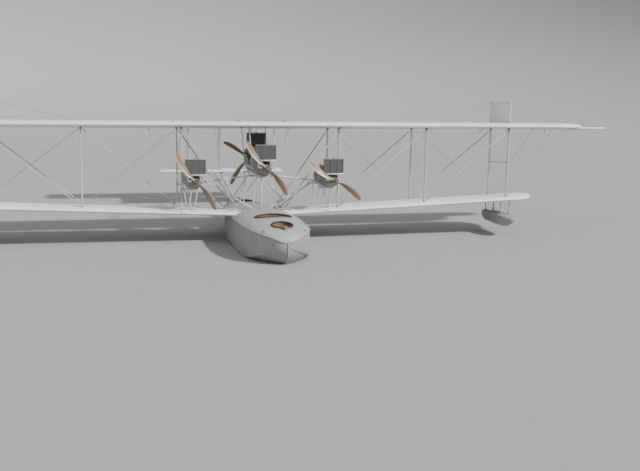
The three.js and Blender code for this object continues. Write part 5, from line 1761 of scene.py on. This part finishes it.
def cross_wires(side, name):
    """The crossed wires between each front strut and the rear strut behind it, and the aileron cables."""
    bm = bmesh.new()
    front, rear = SPARS_Y
    for x in (INNER_X, MIDDLE_X, OUTER_X):
        low = [at(x, y, wing_height(LOWER, x, y, 1) + 0.1) for y in (front + 0.09, rear - 0.09)]
        high = [at(x, y, wing_height(UPPER, x, y, 0) - 0.1) for y in (front + 0.09, rear - 0.09)]
        stay(bm, low[0], high[1], 0.005)
        stay(bm, low[1], high[0], 0.005)
    mark(bm, 0)
    cable_x = AILERON_LUGS[0] - 0.35
    pulley_y = 1.2
    pulley = at(cable_x, pulley_y, wing_height(UPPER, cable_x, pulley_y, 0) - 0.05)
    low = at(3.86, REAR_SPAR_Y + 0.14, wing_height(LOWER, 3.86, REAR_SPAR_Y, 1) + 0.06)
    rod(bm, low, pulley, 0.004, 5)
    rod(bm, low, at(1.55, REAR_SPAR_Y + 0.14, wing_height(LOWER, 1.55, REAR_SPAR_Y + 0.14, 1) + 0.06), 0.004, 5)
    mark(bm, 1)
    for spot in (pulley, low):
        rod(bm, spot - at(0.012, 0, 0), spot + at(0.012, 0, 0), 0.05, 18)
        block(bm, spot + at(0, 0, 0.035 if spot is pulley else -0.04), (0.036, 0.06, 0.06), 0.006)
    mark(bm, 2)
    piece(bm, f"cross_wires_{name}", ["wire", "wire", "steel"], mirror=side < 0)


def boom(points, radius):
    """A hollow wooden boom with wrapped bands; the saddles at its ends are added by the caller."""
    bm = bmesh.new()
    a, b = [Vector(p) for p in points]
    steps = [k / 24 for k in range(25)]
    pipe(bm, [a.lerp(b, s) for s in steps], [radius * (1 - 0.18 * abs(2 * s - 1) ** 2.5) for s in steps], 18)
    mark(bm, 0)
    for k in range(1, 9):
        s = k / 9
        swell = radius * (1 - 0.18 * abs(2 * s - 1) ** 2.5) + 0.004
        spot, way = a.lerp(b, s), (b - a).normalized()
        rod(bm, spot - way * 0.02, spot + way * 0.02, swell, 18)
    mark(bm, 1)
    return bm, a, b


def booms():
    bm, a, b = boom(((0, 6.35, 0.88), (0, 12.08, 1.97)), 0.075)
    block(bm, at(0, 6.62, 0.985), (0.17, 0.5, 0.17), 0.03)
    block(bm, at(0, 12.0, 1.98), (0.16, 0.42, 0.13), 0.03)
    for y in (6.45, 6.62, 6.79):
        block(bm, at(0, y, 0.985), (0.185, 0.035, 0.18), 0.006)
    mark(bm, 1)
    piece(bm, "boom_spruce_lower", ["strut wood", "steel"], "boom_lower")
    for name, side in SIDES:
        top = wing_height(UPPER, 1.5, 1.31, 1) + 0.075
        bm, a, b = boom(((side * 1.5, 1.31, top), (side * 1.0, 12.2, 4.82)), 0.064)
        block(bm, a + at(0, 0.02, -0.04), (0.15, 0.3, 0.11), 0.02)
        block(bm, b + at(0, -0.08, 0.03), (0.14, 0.36, 0.13), 0.02)
        mark(bm, 1)
        piece(bm, f"boom_spruce_upper_{name}", ["strut wood", "steel"], f"boom_upper_{name}")


def tail_wires():
    """The long wires that brace the booms, and the tail's control cables along the upper booms."""
    bm = bmesh.new()
    tail_y = 11.95
    for side in (1, -1):
        wing_rear = at(side * 1.48, 1.6, wing_height(UPPER, 1.48, 1.6, 1) + 0.05)
        mid = at(side * 1.26, 6.5, 5.16)
        stern = at(side * 0.1, 6.72, 1.04)
        lower_mid = at(side * 0.06, 9.6, 1.5)
        upper_mid = at(side * 1.12, 9.6, 4.93)
        deck = at(side * 0.75, 4.4, deck_height(0.75, 4.4) + 0.02)
        for a, b in ((stern, mid), (lower_mid, upper_mid), (stern, upper_mid), (lower_mid, mid), (deck, mid)):
            stay(bm, a, b, 0.005)
        stay(bm, at(side * 3.2, tail_y, TAILS[1][1] + 0.05), upper_mid, 0.004)
        stay(bm, at(side * 3.2, tail_y, TAILS[1][1] - 0.05), at(side * 0.09, 6.8, 1.0), 0.004)
        for k in (0.07, -0.07):
            rod(bm, wing_rear + at(k, 0, 0.09), at(side * 1.02 + k, 12.0, 4.96), 0.003, 5)
    mid = [at(side * 1.26, 6.5, 5.15) for side in (1, -1)]
    rod(bm, mid[0], mid[1], 0.005, 5)
    mark(bm, 0)
    for y, z in ((6.72, 1.05), (9.6, 1.5)):
        block(bm, at(0, y, z + 0.005), (0.2, 0.06, 0.05), 0.01)
    for side in (1, -1):
        for x, y, z in ((1.26, 6.5, 5.16), (1.12, 9.6, 4.93)):
            block(bm, at(side * x, y, z), (0.15, 0.05, 0.15), 0.01)
    mark(bm, 1)
    piece(bm, "tail_wires", ["wire", "steel"])


# Stage
CAMERA_SPOT = (-7.916, -42.107, 7.418)
CAMERA_YAW, CAMERA_PITCH, CAMERA_ROLL = 0.2551, 0.1666, 0.0173
CAMERA_LENS, CAMERA_SENSOR = 50.93, 36.0
FLOOR_RADIUS, FLOOR_BEND, FLOOR_WALL = 105, 22, 34


def camera():
    """The photograph's viewpoint: yaw from +Y towards +X, pitch down, and roll about the line of sight."""
    flat = math.cos(CAMERA_PITCH)
    forward = at(math.sin(CAMERA_YAW) * flat, math.cos(CAMERA_YAW) * flat, -math.sin(CAMERA_PITCH))
    right = at(math.cos(CAMERA_YAW), -math.sin(CAMERA_YAW), 0)
    up = right.cross(forward)
    level, rise = math.cos(CAMERA_ROLL), math.sin(CAMERA_ROLL)
    turn = Matrix((right * level + up * rise, up * level - right * rise, -forward)).transposed()
    data = bpy.data.cameras.new("camera")
    data.lens, data.sensor_width, data.clip_end = CAMERA_LENS, CAMERA_SENSOR, 1000
    made = bpy.data.objects.new("camera", data)
    made.matrix_world = Matrix.Translation(CAMERA_SPOT) @ turn.to_4x4()
    bpy.context.scene.collection.objects.link(made)
    bpy.context.scene.camera = made


def stage():
    """A pale floor at the waterline that curves up far from the aircraft, and soft light from in front."""
    look = bpy.context.scene.boat_stage
    bm = bmesh.new()
    curve = [math.pi / 2 * k / 8 for k in range(9)]
    sweep = [(FLOOR_RADIUS + FLOOR_BEND * math.sin(t), FLOOR_BEND * (1 - math.cos(t))) for t in curve]
    turned(bm, [(0, 0), (40, 0), *sweep, (sweep[-1][0], FLOOR_WALL)], Matrix.Identity(4), 96)
    bmesh.ops.recalc_face_normals(bm, faces=bm.faces)
    if bm.faces[0].normal.z < 0:
        bmesh.ops.reverse_faces(bm, faces=bm.faces)
    for face in bm.faces:
        face.smooth = True
    mesh = bpy.data.meshes.new("floor")
    bm.to_mesh(mesh)
    bm.free()
    mesh.materials.append(finish_of("floor"))
    floor = bpy.data.objects.new("floor", mesh)
    bpy.context.scene.collection.objects.link(floor)
    for name, strength, spread, source in (
        ("key light", look.key_light, 0.06, (0.56, -0.58, 0.6)),
        ("fill light", look.fill_light, 1.0, (-0.5, -0.6, 0.62)),
    ):
        data = bpy.data.lights.new(name, "SUN")
        data.energy, data.angle = strength, spread
        made = bpy.data.objects.new(name, data)
        made.matrix_world = Vector(source).to_track_quat("Z", "Y").to_matrix().to_4x4()
        bpy.context.scene.collection.objects.link(made)
    world = bpy.data.worlds.new("surround")
    world.use_nodes = True
    back = world.node_tree.nodes["Background"]
    back.inputs["Color"].default_value = (*look.surround, 1)
    back.inputs["Strength"].default_value = look.sky_light
    bpy.context.scene.world = world


# Settings
def colour_setting(name, description, default):
    return FloatVectorProperty(
        name=name, description=description, default=default, size=3, subtype="COLOR", min=0.0, max=1.0,
    )


class BoatShapes(bpy.types.PropertyGroup):
    """Sizes of the cloth covering and the small fittings."""

    rib_pitch: FloatProperty(
        name="Rib pitch", description="Distance between the wings' ribs", default=0.38, min=0.2, max=1.0,
        unit="LENGTH",
    )
    cloth_sag: FloatProperty(
        name="Cloth sag", description="How far the cloth sinks between two ribs", default=0.011, min=0.0,
        max=0.03, unit="LENGTH",
    )
    edge_scallop: FloatProperty(
        name="Edge scallop", description="How far the trailing edge is drawn in between two ribs",
        default=0.018, min=0.0, max=0.06, unit="LENGTH",
    )
    louvres: IntProperty(
        name="Louvres", description="Number of louvres on each side of a nacelle", default=7, min=0, max=12,
    )


class BoatFinishes(bpy.types.PropertyGroup):
    """Colours of the painted and doped surfaces."""

    cloth: colour_setting("Cloth", "Doped wing and tail cloth", (0.8, 0.795, 0.765))
    hull: colour_setting("Hull", "Hull and float paint", (0.33, 0.335, 0.34))
    deck: colour_setting("Deck", "Deck paint", (0.42, 0.42, 0.41))
    nacelle: colour_setting("Nacelles", "Paint of the engine nacelles", (0.2, 0.203, 0.207))
    strut: colour_setting("Struts", "Paint of the struts and booms", (0.62, 0.615, 0.59))
    wood: colour_setting("Wood", "Varnished wood of the propellers and cockpits", (0.27, 0.17, 0.1))
    wire: colour_setting("Wires", "Galvanised wires", (0.5, 0.5, 0.49))
    radiator: colour_setting("Radiators", "Radiator cores", (0.11, 0.112, 0.115))


class BoatStage(bpy.types.PropertyGroup):
    """Colours and strengths of the stage."""

    floor: colour_setting("Floor", "Floor colour", (0.37, 0.37, 0.37))
    surround: colour_setting("Surround", "Colour of the light from all round", (0.86, 0.88, 0.9))
    sky_light: FloatProperty(
        name="Surround light", description="Strength of the light from all round", default=0.56, min=0.0, max=4.0,
    )
    key_light: FloatProperty(
        name="Key light", description="Strength of the main light", default=4.8, min=0.0, max=10.0,
    )
    fill_light: FloatProperty(
        name="Fill light", description="Strength of the light that softens the shadows", default=0.4, min=0.0,
        max=10.0,
    )


# Operators
def finished(*names):
    """Stops with an error if a piece that an operator was to make isn't there."""
    missing = [name for name in names if name not in bpy.data.objects]
    if missing:
        raise RuntimeError("not made: " + ", ".join(missing))
    return {"FINISHED"}


def for_sides(make, *prefixes):
    """Makes a piece for each side of the aircraft, and checks that it is there."""
    for name, side in SIDES:
        make(side, name)
    return finished(*[f"{prefix}_{name}" for prefix in prefixes for name, _ in SIDES])


class BOAT_OT_stage(bpy.types.Operator):
    """Sets up the camera, the floor and the lights"""

    bl_idname = "boat.stage"
    bl_label = "Stage"

    def execute(self, context):
        camera()
        stage()
        return finished("camera", "floor")


class BOAT_OT_hull(bpy.types.Operator):
    """Builds the planked hull with its cockpit wells, rails, wing stubs and deck fittings"""

    bl_idname = "boat.hull"
    bl_label = "Hull"

    def execute(self, context):
        hull()
        hull_trim()
        return finished("hull_planking", "hull_rails", "wing_stubs", "deck_fittings")


class BOAT_OT_cockpits(bpy.types.Operator):
    """Builds the padded cockpit rims, seats, control wheels and instrument board"""

    bl_idname = "boat.cockpits"
    bl_label = "Cockpits"

    def execute(self, context):
        cockpits()
        return finished("cockpit_fittings", *[f"coaming_{row[0]}" for row in COCKPITS])


class BOAT_OT_wings(bpy.types.Operator):
    """Builds the cloth-covered upper and lower wings"""

    bl_idname = "boat.wings"
    bl_label = "Wings"

    def execute(self, context):
        centre_wing()
        for_sides(lower_wing, "lower_wing_cloth")
        for_sides(upper_wing, "upper_wing_cloth")
        return finished("upper_wing_cloth_centre")


class BOAT_OT_ailerons(bpy.types.Operator):
    """Builds the ailerons with their balance horns and levers"""

    bl_idname = "boat.ailerons"
    bl_label = "Ailerons"

    def execute(self, context):
        return for_sides(aileron, "aileron_cloth")


class BOAT_OT_tail(bpy.types.Operator):
    """Builds the biplane tail: tailplanes, elevators, three fins and three rudders"""

    bl_idname = "boat.tail"
    bl_label = "Tail"

    def execute(self, context):
        for which, z, half_span in TAILS:
            tailplane(which, z, half_span)
            elevator(which, z, half_span)
        for name, x in (("port", FIN_X), ("centre", 0), ("starboard", -FIN_X)):
            fin_and_rudder(name, x)
        return finished(
            *[f"{kind}_{which}" for kind in ("tailplane_cloth", "elevator_cloth") for which, _, _ in TAILS],
            *[f"{kind}_{name}" for kind in ("fin_cloth", "rudder_cloth") for name in ("port", "centre", "starboard")],
        )


class BOAT_OT_floats(bpy.types.Operator):
    """Builds the floats under the lower wing's tips"""

    bl_idname = "boat.floats"
    bl_label = "Floats"

    def execute(self, context):
        return for_sides(tip_float, "tip_float")


class BOAT_OT_nacelles(bpy.types.Operator):
    """Builds the sheet metal nacelles that carry the engines"""

    bl_idname = "boat.nacelles"
    bl_label = "Nacelles"

    def execute(self, context):
        for name, side in SIDES:
            nacelle(name, side * ENGINE_X, SIDE_AXIS_Z, SIDE_TUB, SIDE_HOOD)
        nacelle("centre", 0, CENTRE_AXIS_Z, CENTRE_TUB, CENTRE_HOOD)
        return finished("nacelle_shell_port", "nacelle_shell_starboard", "nacelle_shell_centre")


class BOAT_OT_engines(bpy.types.Operator):
    """Builds the four twelve-cylinder engines"""

    bl_idname = "boat.engines"
    bl_label = "Engines"

    def execute(self, context):
        engines()
        return finished(*[f"engine_detail_{row[0]}" for row in POWER])


class BOAT_OT_radiators(bpy.types.Operator):
    """Builds the radiators that stand over the engine noses"""

    bl_idname = "boat.radiators"
    bl_label = "Radiators"

    def execute(self, context):
        radiators()
        return finished(*[f"radiator_detail_{row[0]}" for row in POWER])


class BOAT_OT_propellers(bpy.types.Operator):
    """Builds the carved wooden propellers with their metal edges and hubs"""

    bl_idname = "boat.propellers"
    bl_label = "Propellers"

    def execute(self, context):
        propellers()
        return finished(*[f"propeller_wood_{row[0]}" for row in POWER])


class BOAT_OT_trusses(bpy.types.Operator):
    """Builds the wooden frames that carry the engines, and the struts up to the upper wing"""

    bl_idname = "boat.trusses"
    bl_label = "Engine trusses"

    def execute(self, context):
        centre_truss()
        for_sides(side_truss, "engine_truss")
        for_sides(cabane, "cabane_struts")
        return finished("engine_truss_centre")


class BOAT_OT_struts(bpy.types.Operator):
    """Builds the struts between the wings, the struts between the tailplanes and the skid fins"""

    bl_idname = "boat.struts"
    bl_label = "Struts"

    def execute(self, context):
        for_sides(wing_struts, "strut_faired_front", "strut_faired_rear", "struts_faired_outer")
        for_sides(tail_struts, "tail_struts_faired")
        return for_sides(skid_fin, "skid_fin_panel")


class BOAT_OT_booms(bpy.types.Operator):
    """Builds the three wooden booms that carry the tail"""

    bl_idname = "boat.booms"
    bl_label = "Tail booms"

    def execute(self, context):
        booms()
        return finished("boom_spruce_lower", "boom_spruce_upper_port", "boom_spruce_upper_starboard")


class BOAT_OT_rigging(bpy.types.Operator):
    """Builds the wires between the wings and round the booms"""

    bl_idname = "boat.rigging"
    bl_label = "Rigging"

    def execute(self, context):
        for_sides(wing_stays, "stay_wires_front", "stay_wires_rear")
        for_sides(cross_wires, "cross_wires")
        tail_wires()
        return finished("tail_wires")


STEPS = (
    BOAT_OT_stage, BOAT_OT_hull, BOAT_OT_cockpits, BOAT_OT_wings, BOAT_OT_ailerons, BOAT_OT_tail, BOAT_OT_floats,
    BOAT_OT_nacelles, BOAT_OT_engines, BOAT_OT_radiators, BOAT_OT_propellers, BOAT_OT_trusses, BOAT_OT_struts,
    BOAT_OT_booms, BOAT_OT_rigging,
)
SETTINGS = (("boat_shapes", BoatShapes), ("boat_finishes", BoatFinishes), ("boat_stage", BoatStage))


class BOAT_PT_panel(bpy.types.Panel):
    """Lists the settings and the steps that build the aircraft"""

    bl_idname = "BOAT_PT_panel"
    bl_label = "Flying Boat"
    bl_space_type = "VIEW_3D"
    bl_region_type = "UI"
    bl_category = "Flying Boat"

    def draw(self, context):
        for name, group in SETTINGS:
            box = self.layout.box()
            settings = getattr(context.scene, name)
            for key in group.__annotations__:
                box.prop(settings, key)
        for step in STEPS:
            self.layout.operator(step.bl_idname)


def register():
    for kind in (*[group for _, group in SETTINGS], *STEPS, BOAT_PT_panel):
        bpy.utils.register_class(kind)
    for name, group in SETTINGS:
        setattr(bpy.types.Scene, name, PointerProperty(type=group))


def unregister():
    for name, _ in SETTINGS:
        delattr(bpy.types.Scene, name)
    for kind in (BOAT_PT_panel, *reversed(STEPS), *[group for _, group in SETTINGS]):
        bpy.utils.unregister_class(kind)


def main():
    register()
    for step in STEPS:
        group, name = step.bl_idname.split(".")
        getattr(getattr(bpy.ops, group), name)()


if __name__ == "__main__":
    main()
